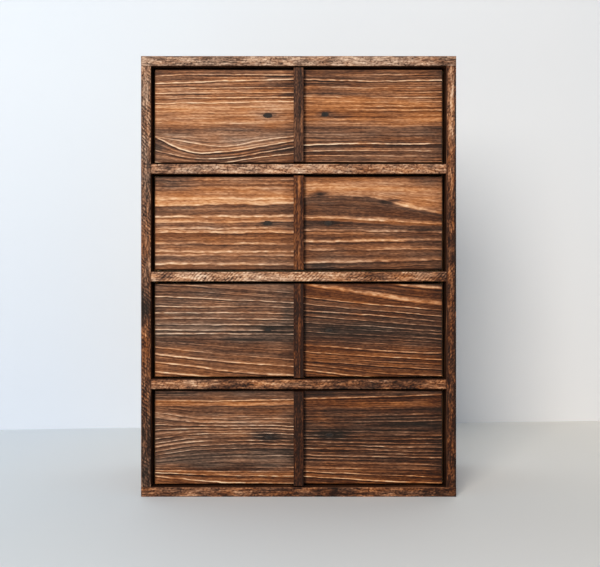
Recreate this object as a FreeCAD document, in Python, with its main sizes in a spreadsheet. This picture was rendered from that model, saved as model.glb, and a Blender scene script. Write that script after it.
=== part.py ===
import FreeCAD, Part
import os
import re

import Sketcher

# Seed storage cabinet: a small case of four stacked drawers, made of thin boards.
#
# The case is two sides held between a top and a bottom, with three shelves butted between the
# sides and a plywood back nailed on behind. Each drawer is a four-walled box with a thin plywood
# bottom caught in a saw-kerf groove. A full-width applied front is screwed on through its face,
# the screw heads are filled over, and a square strip down the middle of the front makes each
# drawer look like a pair.
#
# Frame: +Z up, -Y is the front. The origin is the centre of the cabinet's footprint, at the
# underside of the bottom board. Lengths are in millimetres.

DRAWERS = 4
SHELVES = DRAWERS - 1

# Driving dimensions: the cell's alias, its value and what it measures.
SIZES = (
    ("case_width", 406.4, "outside width over the two sides"),
    ("case_depth", 184.15, "depth of the case boards, front edge to rear edge"),
    ("opening_height", 126.2, "clear height of each drawer opening"),
    ("board_thickness", 12.7, "thickness of the sides, top, bottom and shelves"),
    ("back_thickness", 6.35, "plywood back"),
    ("back_inset", 1.5, "the back stops short of the outside of the case by this all round"),
    ("eased_radius", 0.8, "sanded round on the long arrises"),
    ("foot_radius", 2.2, "worn round on the lower outer corners of the case"),
    ("side_gap", 4.25, "between a drawer and each side of the case"),
    ("gap_below", 2.2, "under an applied front"),
    ("gap_above", 3.0, "over an applied front"),
    ("front_thickness", 19.05, "thickness of the applied front"),
    ("front_recess", 6.35, "face of the applied front behind the front edges of the case"),
    ("strip_width", 13.0, "width of the centre strip"),
    ("strip_thickness", 9.5, "thickness of the centre strip"),
    ("box_stock", 12.7, "thickness of the four walls of the drawer box"),
    ("box_headroom", 24.6, "over the walls of the drawer box"),
    ("rear_gap", 0.5, "between the drawer box and the back when the drawer is shut"),
    ("bottom_thickness", 3.2, "plywood drawer bottom"),
    ("bottom_slack", 0.5, "the drawer bottom stops short of the end of each groove by this"),
    ("groove_lift", 6.35, "lower side of the groove above the lower edge of the drawer box"),
    ("groove_depth", 6.35, "depth of the groove into each wall of the box"),
    ("groove_play", 0.2, "groove width over the thickness of the drawer bottom"),
    ("screw_spacing", 76.2, "between the two screws of a drawer front"),
    ("screw_sink", 2.0, "screw head below the face of the front, filled over"),
    ("screw_bite", 8.35, "point of the screw into the drawer box"),
    ("head_radius", 3.5, "countersunk head of the screw"),
    ("head_depth", 2.6, "height of the head's cone"),
    ("shank_radius", 1.75, "shank of the screw"),
    ("brad_wire", 1.2, "square wire of the brads"),
    ("brad_set", 0.8, "brad heads punched below the surface"),
    ("case_bite", 19.85, "point of a case brad into the second board"),
    ("back_bite", 13.5, "point of a back brad into the board behind it"),
    ("box_bite", 13.5, "point of a drawer box brad into the second wall"),
    ("brad_inset", 25.0, "outermost brads of a row in from the ends of the joint"),
)
ALIASES = {alias for alias, value, note in SIZES}

# The screws were started by hand: how far each one strays from its place on its own drawer,
# left screw and right screw, to the right and upwards. Drawers count down from the top.
SCREW_STRAY = (
    ((-1.6, 0.3), (-4.4, 2.2)),
    ((-2.0, 0.5), (-0.9, 0.5)),
    ((-3.0, 1.2), (1.1, 0.4)),
    ((0.2, 0.6), (1.8, 3.4)),
)

# Formulas that more than one piece uses, in the sheet's own names.
PITCH = "(opening_height + board_thickness)"
CASE_HEIGHT = f"({DRAWERS} * {PITCH} + board_thickness)"
INNER_WIDTH = "(case_width - 2 * board_thickness)"
STRIP_PROUD = "(strip_thickness - front_recess)"
CASE_FRONT = f"(({STRIP_PROUD} - case_depth - back_thickness) / 2)"
CASE_REAR = f"({CASE_FRONT} + case_depth)"
DRAWER_WIDTH = f"({INNER_WIDTH} - 2 * side_gap)"
FRONT_HEIGHT = "(opening_height - gap_below - gap_above)"
FACE_Y = f"({CASE_FRONT} + front_recess)"
BOX_FRONT_Y = f"({FACE_Y} + front_thickness)"
BOX_REAR_Y = f"({CASE_REAR} - rear_gap)"
BOX_LENGTH = f"({BOX_REAR_Y} - {BOX_FRONT_Y})"
BOX_HEIGHT = "(opening_height - box_headroom)"
BOX_INNER_WIDTH = f"({DRAWER_WIDTH} - 2 * box_stock)"
GROOVE_TOP = "(groove_lift + bottom_thickness + groove_play)"
SCREW_LENGTH = "(front_thickness - screw_sink + screw_bite)"

document = FreeCAD.newDocument("SeedCabinet")
nodes = {}


def make_sheet():
    """The spreadsheet of driving dimensions: name, value and note in one row each."""
    sheet = document.addObject("Spreadsheet::Sheet", "Sizes")
    for row, (alias, value, note) in enumerate(SIZES, start=1):
        sheet.set(f"A{row}", alias)
        sheet.set(f"B{row}", str(value))
        sheet.setAlias(f"B{row}", alias)
        sheet.set(f"C{row}", note)
    document.recompute()


def bind(target, field, formula):
    """Ties a property to a formula written in the sheet's plain names."""
    named = re.sub(
        r"[a-z_]+", lambda word: f"Sizes.{word[0]}" if word[0] in ALIASES else word[0], formula
    )
    target.setExpression(field, named)


def place(target, corner):
    """Ties the x, y and z of an object's placement to three formulas."""
    for axis, formula in zip("xyz", corner):
        bind(target, f"Placement.Base.{axis}", formula)


# ---------------------------------------------------------------- bodies made from a profile

PLANES = {"z": "XY_Plane", "y": "XZ_Plane", "x": "YZ_Plane"}


def sketch_outline(body, plane, outline, name):
    """A closed outline through corners given as pairs of formulas, each fully dimensioned."""
    sketch = body.newObject("Sketcher::SketchObject", name)
    origin_plane = next(p for p in body.Origin.OriginFeatures if p.Role == plane)
    sketch.AttachmentSupport = [(origin_plane, "")]
    sketch.MapMode = "FlatFace"
    starts = [FreeCAD.Vector(9 * i, 7 * i * i, 0) for i in range(len(outline))]
    for start, end in zip(starts, starts[1:] + starts[:1]):
        sketch.addGeometry(Part.LineSegment(start, end), False)
    for i in range(len(outline)):
        following = (i + 1) % len(outline)
        sketch.addConstraint(Sketcher.Constraint("Coincident", i, 2, following, 1))
    for i, corner in enumerate(outline):
        for kind, axis_line, formula in zip(("DistanceX", "DistanceY"), (-2, -1), corner):
            if formula == "0":
                sketch.addConstraint(Sketcher.Constraint("PointOnObject", i, 1, axis_line))
                continue
            number = sketch.addConstraint(Sketcher.Constraint(kind, -1, 1, i, 1, 10.0))
            label = f"{kind}_{i}"
            sketch.renameConstraint(number, label)
            bind(sketch, f"Constraints.{label}", formula)
    return sketch


def padded(name, along, outline, length, corner):
    """A body padded along x, y or z from an outline in the plane across that axis."""
    body = document.addObject("PartDesign::Body", name)
    sketch = sketch_outline(body, PLANES[along], outline, f"{name}_profile")
    pad = body.newObject("PartDesign::Pad", f"{name}_pad")
    pad.Profile = sketch
    pad.Reversed = along == "y"
    bind(pad, "Length", length)
    place(body, corner)
    return body


def board(name, size, corner):
    """A plain board with its lowest corner at a point, padded up from its width and depth."""
    width, depth, height = size
    outline = [("0", "0"), (width, "0"), (width, depth), ("0", depth)]
    return padded(name, "z", outline, height, corner)


def ease(body, arrises, radius, name):
    """Rounds the named arrises of a body. An arris is named by the two faces that meet there."""
    document.recompute()
    before = body.Tip
    bounds = before.Shape.BoundBox
    faces = {
        "left": ("x", bounds.XMin), "right": ("x", bounds.XMax),
        "front": ("y", bounds.YMin), "back": ("y", bounds.YMax),
        "bottom": ("z", bounds.ZMin), "top": ("z", bounds.ZMax),
    }
    chosen = []
    for arris in arrises:
        sides = [faces[side] for side in arris.split("-")]
        for number, edge in enumerate(before.Shape.Edges, start=1):
            middle = edge.CenterOfMass
            if all(abs(getattr(middle, axis) - level) < 1e-5 for axis, level in sides):
                chosen.append(f"Edge{number}")
    fillet = body.newObject("PartDesign::Fillet", name)
    fillet.Base = (before, chosen)
    bind(fillet, "Radius", radius)


# ---------------------------------------------------------------- groups, holes and brads


def group(name, solids):
    """Several like pieces kept as separate solids of one object."""
    compound = document.addObject("Part::Compound", name)
    compound.Links = solids
    return compound


def cut(name, base, tools):
    """The node called name: base with each tool taken out of it."""
    for i, tool in enumerate(tools, start=1):
        result = document.addObject("Part::Cut", name if i == len(tools) else f"{name}_cut_{i}")
        result.Base = base
        result.Tool = tool
        base = result
    nodes[name] = base


def stick(name, surface, direction, start, end):
    """A square stick of brad wire between two depths below a surface point, along +-x, y or z."""
    sign = direction[0]
    axis = "xyz".index(direction[1])
    lengths = ["brad_wire"] * 3
    lengths[axis] = f"{end} - {start}"
    corner = [f"({centre}) - brad_wire / 2" for centre in surface]
    corner[axis] = f"({surface[axis]}) {sign} {start if sign == '+' else end}"
    wire = document.addObject("Part::Box", name)
    for field, formula in zip(("Length", "Width", "Height"), lengths):
        bind(wire, field, formula)
    place(wire, corner)
    return wire


def make_brads(name, drives, depth):
    """A node of brads, each set below the surface that it is driven from, and their holes."""
    brads = [
        stick(f"{name}_{i}", surface, direction, "brad_set", depth)
        for i, (surface, direction) in enumerate(drives)
    ]
    holes = [
        stick(f"{name}_hole_{i}", surface, direction, "0", depth)
        for i, (surface, direction) in enumerate(drives)
    ]
    nodes[name] = group(name, brads)
    return group(f"{name}_holes", holes)


def spread(low, high, inset, count):
    """Formulas for count places, evenly spaced from low + inset to high - inset."""
    return [
        f"({low}) + {inset} + {i} * (({high}) - ({low}) - 2 * {inset}) / {count - 1}"
        for i in range(count)
    ]


# ---------------------------------------------------------------- the case


def shelf_z(number):
    """Underside of a case board, counted up from the bottom board, which is number 0."""
    return f"({number} * {PITCH})"


def make_case():
    """Sides, top, bottom, shelves and back, with the brads that hold them."""
    left_middle = "-case_width / 2 + board_thickness / 2"
    right_middle = "case_width / 2 - board_thickness / 2"
    depths = spread(CASE_FRONT, CASE_REAR, "brad_inset", 3)
    rear_face = f"{CASE_REAR} + back_thickness"

    shelf_drives = [
        ((x, y, f"{shelf_z(n)} + board_thickness / 2"), direction)
        for x, direction in (("-case_width / 2", "+x"), ("case_width / 2", "-x"))
        for n in range(1, SHELVES + 1)
        for y in depths
    ]
    end_drives = [
        ((x, y, z), direction)
        for z, direction in (("0", "+z"), (CASE_HEIGHT, "-z"))
        for x in (left_middle, right_middle)
        for y in depths
    ]
    back_drives = [
        ((x, rear_face, f"{shelf_z(n)} + board_thickness + opening_height / 2"), "-y")
        for x in (left_middle, right_middle)
        for n in range(DRAWERS)
    ]
    back_drives += [
        ((x, rear_face, f"{shelf_z(n)} + board_thickness / 2"), "-y")
        for x in spread(left_middle, right_middle, "4 * brad_inset", 2)
        for n in range(DRAWERS + 1)
    ]
    case_depth_in = "(board_thickness + case_bite)"
    shelf_holes = make_brads("shelf_brads", shelf_drives, case_depth_in)
    end_holes = make_brads("top_and_bottom_brads", end_drives, case_depth_in)
    back_holes = make_brads("back_brads", back_drives, "(back_thickness + back_bite)")

    side_size = ("board_thickness", "case_depth", f"{CASE_HEIGHT} - 2 * board_thickness")
    for hand, x in (("left", "-case_width / 2"), ("right", "case_width / 2 - board_thickness")):
        name = f"side_{hand}"
        plank = board(f"{name}_plank", side_size, (x, CASE_FRONT, "board_thickness"))
        ease(plank, ("front-left", "front-right"), "eased_radius", f"{name}_eased")
        cut(name, plank, [shelf_holes, end_holes, back_holes])

    end_size = ("case_width", "case_depth", "board_thickness")
    for end, number in (("bottom", 0), ("top", DRAWERS)):
        name = f"{end}_board"
        plank = board(f"{name}_plank", end_size, ("-case_width / 2", CASE_FRONT, shelf_z(number)))
        inner = "top" if end == "bottom" else "bottom"
        ease(plank, (f"front-{inner}",), "eased_radius", f"{name}_eased")
        if end == "bottom":
            ease(plank, ("left-bottom", "right-bottom"), "foot_radius", f"{name}_corners")
        cut(name, plank, [end_holes, back_holes])

    shelf_size = (INNER_WIDTH, "case_depth", "board_thickness")
    for number in range(1, SHELVES + 1):
        name = f"shelf_{DRAWERS - number}"
        corner = (f"-{INNER_WIDTH} / 2", CASE_FRONT, shelf_z(number))
        plank = board(f"{name}_plank", shelf_size, corner)
        ease(plank, ("front-top", "front-bottom"), "eased_radius", f"{name}_eased")
        cut(name, plank, [shelf_holes, back_holes])

    back_size = ("case_width - 2 * back_inset", "back_thickness", f"{CASE_HEIGHT} - 2 * back_inset")
    corner = ("-case_width / 2 + back_inset", CASE_REAR, "back_inset")
    cut("back_panel", board("back_sheet", back_size, corner), [back_holes])


# ---------------------------------------------------------------- the drawers


def grooved_profile(groove_faces_plus):
    """Profile of a drawer wall, with the saw kerf for the bottom in its plus or minus face."""
    outline = [
        ("0", "0"), ("box_stock", "0"),
        ("box_stock", "groove_lift"), ("box_stock - groove_depth", "groove_lift"),
        ("box_stock - groove_depth", GROOVE_TOP), ("box_stock", GROOVE_TOP),
        ("box_stock", BOX_HEIGHT), ("0", BOX_HEIGHT),
    ]
    if groove_faces_plus:
        return outline
    turned = {"0": "box_stock", "box_stock": "0", "box_stock - groove_depth": "groove_depth"}
    return [(turned[across], up) for across, up in outline]


def make_box(tag, floor):
    """Four nailed walls and the bottom caught in their grooves."""
    left = f"(-{DRAWER_WIDTH} / 2)"
    right = f"({DRAWER_WIDTH} / 2)"
    inner_left = f"(-{BOX_INNER_WIDTH} / 2)"
    walls = {
        "left": ("y", True, BOX_LENGTH, (left, BOX_FRONT_Y, floor)),
        "right": ("y", False, BOX_LENGTH, (f"{right} - box_stock", BOX_FRONT_Y, floor)),
        "front": ("x", True, BOX_INNER_WIDTH, (inner_left, BOX_FRONT_Y, floor)),
        "back": ("x", False, BOX_INNER_WIDTH, (inner_left, f"{BOX_REAR_Y} - box_stock", floor)),
    }
    corners = (f"{BOX_FRONT_Y} + box_stock / 2", f"{BOX_REAR_Y} - box_stock / 2")
    heights = spread(f"{floor} + {GROOVE_TOP}", f"{floor} + {BOX_HEIGHT}", "brad_inset", 2)
    drives = [
        ((x, y, z), direction)
        for x, direction in ((left, "+x"), (right, "-x"))
        for y in corners
        for z in heights
    ]
    holes = make_brads(f"{tag}_brads", drives, "(box_stock + box_bite)")
    for wall, (along, faces_plus, length, corner) in walls.items():
        name = f"{tag}_box_{wall}"
        plank = padded(f"{name}_plank", along, grooved_profile(faces_plus), length, corner)
        tools = [holes, nodes[f"{tag}_screws"]] if wall == "front" else [holes]
        cut(name, plank, tools)

    reach = "(groove_depth - bottom_slack)"
    size = (
        f"{BOX_INNER_WIDTH} + 2 * {reach}",
        f"{BOX_LENGTH} - 2 * box_stock + 2 * {reach}",
        "bottom_thickness",
    )
    corner = (
        f"{inner_left} - {reach}",
        f"{BOX_FRONT_Y} + box_stock - {reach}",
        f"{floor} + groove_lift",
    )
    nodes[f"{tag}_bottom"] = board(f"{tag}_bottom", size, corner)


def make_screw(name, corner):
    """A countersunk wood screw pointing to the rear, its thread and point left plain."""
    body = document.addObject("PartDesign::Body", name)
    outline = [
        ("0", "0"), ("head_radius", "0"), ("shank_radius", "head_depth"),
        ("shank_radius", SCREW_LENGTH), ("0", SCREW_LENGTH),
    ]
    sketch = sketch_outline(body, PLANES["z"], outline, f"{name}_profile")
    turned = body.newObject("PartDesign::Revolution", f"{name}_turned")
    turned.Profile = sketch
    turned.ReferenceAxis = (sketch, ["V_Axis"])
    turned.Angle = 360.0
    place(body, corner)
    return body


def make_plug(name, corner):
    """Wood filler over one screw head, flush with the face of the front."""
    plug = document.addObject("Part::Cylinder", name)
    bind(plug, "Radius", "head_radius")
    bind(plug, "Height", "screw_sink")
    plug.Placement.Rotation = FreeCAD.Rotation(FreeCAD.Vector(1, 0, 0), -90)
    place(plug, corner)
    return plug


def make_screws(tag, floor, strays):
    """The two screws of a drawer front and the filler over their heads."""
    screws = []
    plugs = []
    for hand, side, (right_by, up_by) in zip(("left", "right"), "-+", strays):
        x = f"{side}screw_spacing / 2 + ({right_by})"
        z = f"{floor} + gap_below + {FRONT_HEIGHT} / 2 + {up_by}"
        screws.append(make_screw(f"{tag}_{hand}_screw", (x, f"{FACE_Y} + screw_sink", z)))
        plugs.append(make_plug(f"{tag}_{hand}_plug", (x, FACE_Y, z)))
    nodes[f"{tag}_screws"] = group(f"{tag}_screws", screws)
    nodes[f"{tag}_filler"] = group(f"{tag}_filler", plugs)


def make_face(tag, floor):
    """The applied front, with its screw holes, and the strip glued down its middle."""
    side_arrises = ("front-left", "front-right")
    bottom_z = f"{floor} + gap_below"

    size = (DRAWER_WIDTH, "front_thickness", FRONT_HEIGHT)
    plank = board(f"{tag}_front_plank", size, (f"-{DRAWER_WIDTH} / 2", FACE_Y, bottom_z))
    ease(plank, side_arrises + ("front-top", "front-bottom"), "eased_radius", f"{tag}_front_eased")
    cut(f"{tag}_front", plank, [nodes[f"{tag}_filler"], nodes[f"{tag}_screws"]])

    size = ("strip_width", "strip_thickness", FRONT_HEIGHT)
    corner = ("-strip_width / 2", f"{FACE_Y} - strip_thickness", bottom_z)
    strip = board(f"{tag}_strip", size, corner)
    ease(strip, side_arrises, "eased_radius", f"{tag}_strip_eased")
    nodes[f"{tag}_strip"] = strip


def make_drawer(number):
    """One drawer, counted down from the top."""
    tag = f"drawer_{number}"
    floor = f"({shelf_z(DRAWERS - number)} + board_thickness)"
    make_screws(tag, floor, SCREW_STRAY[number - 1])
    make_box(tag, floor)
    make_face(tag, floor)


# ---------------------------------------------------------------- build, check and write


def check():
    """Stops if any object failed to compute, or a node is empty or not a valid shape."""
    failed = [item.Name for item in document.Objects if {"Invalid", "Error"} & set(item.State)]
    bad = [name for name, node in nodes.items() if node.Shape.isNull() or not node.Shape.isValid()]
    if failed or bad:
        raise RuntimeError(f"failed objects {failed}, bad nodes {bad}")


def write():
    """One STEP file for each node."""
    os.makedirs("parts", exist_ok=True)
    for name, node in nodes.items():
        node.Label = name
        node.Shape.exportStep(f"parts/{name}.step")


make_sheet()
make_case()
for drawer_number in range(1, DRAWERS + 1):
    make_drawer(drawer_number)
document.recompute()
check()
write()
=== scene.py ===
import math

import bpy
import numpy as np
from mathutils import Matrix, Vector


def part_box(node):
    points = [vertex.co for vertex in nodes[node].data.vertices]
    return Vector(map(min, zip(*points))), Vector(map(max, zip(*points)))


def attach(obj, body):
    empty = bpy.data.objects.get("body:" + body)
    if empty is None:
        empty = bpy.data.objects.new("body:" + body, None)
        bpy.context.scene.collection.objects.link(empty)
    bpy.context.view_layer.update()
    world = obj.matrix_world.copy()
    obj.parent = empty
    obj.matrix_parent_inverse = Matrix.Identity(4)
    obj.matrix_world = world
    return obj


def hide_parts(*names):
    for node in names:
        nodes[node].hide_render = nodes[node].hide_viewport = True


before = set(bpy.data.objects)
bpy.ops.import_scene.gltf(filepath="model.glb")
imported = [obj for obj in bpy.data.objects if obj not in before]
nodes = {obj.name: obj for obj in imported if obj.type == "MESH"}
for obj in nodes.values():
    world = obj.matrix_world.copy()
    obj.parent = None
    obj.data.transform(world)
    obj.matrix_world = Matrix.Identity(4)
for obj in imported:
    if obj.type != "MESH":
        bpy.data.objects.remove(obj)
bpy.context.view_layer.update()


# ---------------------------------------------------------------- case boards
# Top, bottom, two sides and three shelves: planed 12.7 mm pine, butted, glued and bradded.
# Stained and wiped, so the sawn front edges are speckled and show their saw marks;
# inside the openings the stain stops about 25 mm behind the front edge.

QUARTER_TURN = math.pi / 2
STIR = (374761393, 668265263, 97463477, 1274126177)
ALL_BITS = 0xFFFFFFFF


def smooth_step(t):
    """3 t^2 - 2 t^3, with t held between 0 and 1."""
    t = np.clip(t, 0, 1)
    return t * t * (3 - 2 * t)


def scatter(x, y, seed):
    """A random number from -1 to 1 at each whole-number point, blended between the four
    corners of a square by the smooth step. The number is made by adding up the two whole
    numbers and the seed, each times a large odd number, and folding the sum in 32 bits."""
    i, j = np.floor(x).astype(np.int64), np.floor(y).astype(np.int64)
    u, v = smooth_step(x - i), smooth_step(y - j)

    def corner(p, q):
        n = (p * STIR[0] + q * STIR[1] + seed * STIR[2]) & ALL_BITS
        n = ((n ^ (n >> 13)) * STIR[3]) & ALL_BITS
        return (n ^ (n >> 16)) / (ALL_BITS >> 1) - 1

    near = corner(i, j) * (1 - u) + corner(i + 1, j) * u
    far = corner(i, j + 1) * (1 - u) + corner(i + 1, j + 1) * u
    return near * (1 - v) + far * v


def mottle(x, y, seed):
    """Three layers of scatter, each about half the size and half the strength of the last."""
    return (
        scatter(x, y, seed)
        + 0.55 * scatter(x * 2.1, y * 2.1, seed + 1)
        + 0.3 * scatter(x * 4.3, y * 4.3, seed + 2)
    )


def ruled(low, high, pitch, knots=()):
    """Ruler marks from low to high, one pitch apart, with finer marks for 1.4 mm on both sides
    of each knot. A mark that is nearer to the last than the least gap is left out."""
    marks = np.linspace(low, high, max(2, int(round((high - low) / pitch)) + 1))
    fine = np.array([-1.4, -0.9, -0.6, -0.3, 0, 0.3, 0.6, 0.9, 1.4]) * 0.001
    least_gap = 0.00012
    for knot in knots:
        marks = np.concatenate([marks, knot + fine])
    marks = np.sort(marks[(marks >= low) & (marks <= high)])
    marks = marks[np.concatenate([[True], np.diff(marks) > least_gap])]
    marks[-1] = high
    return marks


def section_outline(low, high, radius, pitches, knots):
    """A board's section, once round from its low corner: four ruled faces, numbered 0 to 3, each
    followed by a quarter circle about the corner point that is one radius in from both faces.
    Gives both coordinates, the outward normal and the face number of each point."""
    a, b, turn, face = [], [], [], []
    corners = ((1, 0), (1, 1), (0, 1), (0, 0))
    for side in range(4):
        axis = side % 2
        marks = ruled(low[axis] + radius, high[axis] - radius, pitches[side], knots[side])
        if side > 1:
            marks = marks[::-1]
        level = np.full(len(marks), (low, high, high, low)[side][1 - axis])
        a.append(level if axis else marks)
        b.append(marks if axis else level)
        turn.append(np.full(len(marks), (side - 1) * QUARTER_TURN))
        bend = (side - 1 + np.array([0.25, 0.5, 0.75])) * QUARTER_TURN
        at = [(low[k] + radius, high[k] - radius)[corners[side][k]] for k in (0, 1)]
        a.append(at[0] + radius * np.cos(bend))
        b.append(at[1] + radius * np.sin(bend))
        turn.append(bend)
        face.append(np.full(len(marks) + 3, side))
    turn = np.concatenate(turn)
    return (np.concatenate(a), np.concatenate(b), np.cos(turn), np.sin(turn),
            np.concatenate(face))


def knit(name, points, quads, triangles, layers):
    """A mesh object from points, four-cornered and three-cornered faces, with one number for
    each point in each layer."""
    mesh = bpy.data.meshes.new(name)
    mesh.vertices.add(len(points))
    mesh.vertices.foreach_set("co", points.astype(np.float32).ravel())
    corners = np.concatenate([quads.ravel(), triangles.ravel()]).astype(np.int32)
    starts = np.concatenate([
        np.arange(len(quads)) * 4, len(quads) * 4 + np.arange(len(triangles)) * 3
    ]).astype(np.int32)
    mesh.loops.add(len(corners))
    mesh.loops.foreach_set("vertex_index", corners)
    mesh.polygons.add(len(starts))
    mesh.polygons.foreach_set("loop_start", starts)
    mesh.polygons.foreach_set("use_smooth", np.ones(len(starts), bool))
    mesh.update(calc_edges=True)
    mesh.validate()
    for layer, values in layers.items():
        made = mesh.attributes.new(layer, "FLOAT", "POINT")
        made.data.foreach_set("value", values.astype(np.float32).ravel())
    piece = bpy.data.objects.new(name, mesh)
    bpy.context.scene.collection.objects.link(piece)
    return piece


def sheathe(name, rings, caps, layers):
    """A closed skin over a stack of rings of equal count, each joined to the next by
    four-cornered faces, with a fan of three-cornered ones to a point at either end."""
    rows, count, _ = rings.shape
    ring = np.arange(count)
    after = np.roll(ring, -1)
    base = (np.arange(rows - 1) * count)[:, None]
    quads = np.stack([base + ring, base + after, base + count + after, base + count + ring], -1)
    last = (rows - 1) * count
    fans = np.concatenate([
        np.stack([np.full(count, rows * count), after, ring], -1),
        np.stack([np.full(count, rows * count + 1), last + ring, last + after], -1),
    ])
    layers = {
        layer: np.concatenate([values.ravel(), [values[0].mean(), values[-1].mean()]])
        for layer, values in layers.items()
    }
    points = np.concatenate([rings.reshape(-1, 3), caps])
    return knit(name, points, quads.reshape(-1, 4), fans, layers)


# By the way the grain runs: the two axes of a board's section and the one along it.
SECTION_AXES = {"x": (1, 2, 0), "z": (0, 1, 2)}


def plane_board(name, solid, along, radius, pitches, step, surface, knots=((),) * 4, stops=()):
    """A board with its section carried along its length. Each end is rounded over by rings that
    shrink as a quarter of an ellipse, 0.6 of a radius long, and closed by a fan to one point.
    The surface function gives how deep each point lies below the planed face, and the numbers
    that its finish reads."""
    low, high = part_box(solid)
    ia, ib, it = SECTION_AXES[along]
    a, b, na, nb, face = section_outline(
        (low[ia], low[ib]), (high[ia], high[ib]), radius, pitches, knots)
    end = 0.6 * radius
    quarter = np.radians([0, 30, 60])
    shrink = np.concatenate([[0.9 * radius], end * (1 - np.sin(quarter))])
    set_back = np.concatenate([[0], end * (1 - np.cos(quarter))])
    run = ruled(low[it] + end, high[it] - end, step, stops)
    inset = np.concatenate([shrink, np.zeros(len(run)), shrink[::-1]])[:, None]
    t = np.concatenate([low[it] + set_back, run, (high[it] - set_back)[::-1]])[:, None]
    spot = [None, None, None]
    spot[ia] = a - inset * na
    spot[ib] = b - inset * nb
    spot[it] = t + 0 * a
    edge = np.minimum(t - low[it], high[it] - t)
    depth, layers = surface(*spot, face + 0 * inset.astype(int), edge)
    depth = depth * (inset == 0)
    spot[ia] = spot[ia] - depth * na
    spot[ib] = spot[ib] - depth * nb
    caps = np.zeros((2, 3))
    caps[:, ia], caps[:, ib] = (low[ia] + high[ia]) / 2, (low[ib] + high[ib]) / 2
    caps[:, it] = low[it], high[it]
    return sheathe(name, np.stack(spot, axis=-1), caps, layers)


def paint(red, green, blue):
    """A colour given in screen steps of 0 to 255, as the linear numbers that a shader takes."""
    levels = np.array([red, green, blue]) / 255
    linear = np.where(levels < 0.04045, levels / 12.92, ((levels + 0.055) / 1.055) ** 2.4)
    return (*linear.tolist(), 1.0)


def plug(tree, made, inputs):
    """Links a socket, or sets a plain value, on each named input of a node."""
    for key, value in inputs.items():
        if isinstance(value, bpy.types.NodeSocket):
            tree.links.new(value, made.inputs[key])
        else:
            made.inputs[key].default_value = value


def node(tree, kind, inputs, output=0, **settings):
    """Adds a shader node, plugs its inputs, and gives back one of its outputs."""
    made = tree.nodes.new("ShaderNode" + kind)
    for setting, value in settings.items():
        setattr(made, setting, value)
    plug(tree, made, inputs)
    return made.outputs[output]


def calc(tree, operation, first, second=0.0, third=0.0):
    """One sum done by a Math node."""
    return node(tree, "Math", {0: first, 1: second, 2: third}, operation=operation)


def swing(tree, value, share, base):
    """A base moved up and down by a share of how far a value lies from one half."""
    return calc(tree, "MULTIPLY_ADD", calc(tree, "SUBTRACT", value, 0.5), share, base)


def spread_value(tree, value, low, high, to_low=0.0, to_high=1.0):
    """A value carried from one range to another in a straight line and held at the ends."""
    return node(tree, "MapRange", {0: value, 1: low, 2: high, 3: to_low, 4: to_high})


def split(tree, vector):
    """The three numbers of a vector."""
    made = tree.nodes.new("ShaderNodeSeparateXYZ")
    tree.links.new(vector, made.inputs[0])
    return made.outputs


def squeezed_noise(tree, place, squeeze, detail, roughness=0.5):
    """Noise whose blotches are shortened on each axis by the number given for it."""
    squeezed = node(tree, "VectorMath", {0: place, 1: squeeze}, operation="MULTIPLY")
    return node(tree, "TexNoise", {
        "Vector": squeezed, "Scale": 1.0, "Detail": detail, "Roughness": roughness})


def ramp(tree, factor, *stops):
    """A colour read along a row of stops, each a place from 0 to 1 and its screen steps."""
    made = tree.nodes.new("ShaderNodeValToRGB")
    tree.links.new(factor, made.inputs[0])
    while len(made.color_ramp.elements) < len(stops):
        made.color_ramp.elements.new(0.5)
    for element, (place, *steps) in zip(made.color_ramp.elements, stops):
        element.position = place
        element.color = paint(*steps)
    return made.outputs[0]


def mix_colour(tree, factor, first, second):
    """Two colours blended by a factor."""
    return node(tree, "Mix", {0: factor, 6: first, 7: second}, 2, data_type="RGBA")


def new_group(name, takes, gives):
    """An empty shader group with named inputs and outputs, and its two end nodes."""
    tree = bpy.data.node_groups.new(name, "ShaderNodeTree")
    for label, kind in takes:
        tree.interface.new_socket(label, in_out="INPUT", socket_type="NodeSocket" + kind)
    for label, kind in gives:
        tree.interface.new_socket(label, in_out="OUTPUT", socket_type="NodeSocket" + kind)
    return tree, tree.nodes.new("NodeGroupInput"), tree.nodes.new("NodeGroupOutput")


def use_group(tree, group, inputs):
    """Places a group in a material, plugs its inputs, and gives back all its outputs."""
    made = tree.nodes.new("ShaderNodeGroup")
    made.node_tree = group
    plug(tree, made, inputs)
    return made.outputs


def fibre_group():
    """Four noises on coordinates squeezed along the grain, each with its middle range spread to
    0 to 1: fibres a few tenths of a millimetre wide, strands of them a few millimetres wide,
    short dark pores, and soft clouds."""
    noises = (
        ("Fibres", (70.0, 2300.0, 2300.0), 3.0, 0.6, 0.25, 0.75),
        ("Strands", (8.0, 240.0, 240.0), 4.0, 0.72, 0.30, 0.70),
        ("Pores", (260.0, 3000.0, 3000.0), 1.0, 0.5, 0.60, 0.72),
        ("Clouds", (25.0, 110.0, 110.0), 3.0, 0.5, 0.3, 0.7))
    tree, given, out = new_group("wood fibres", [("Grain", "Vector")],
                                 [(label, "Float") for label, *_ in noises])
    for label, squeeze, detail, roughness, low, high in noises:
        noise = squeezed_noise(tree, given.outputs["Grain"], squeeze, detail, roughness)
        tree.links.new(spread_value(tree, noise, low, high), out.inputs[label])
    return tree


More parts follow.
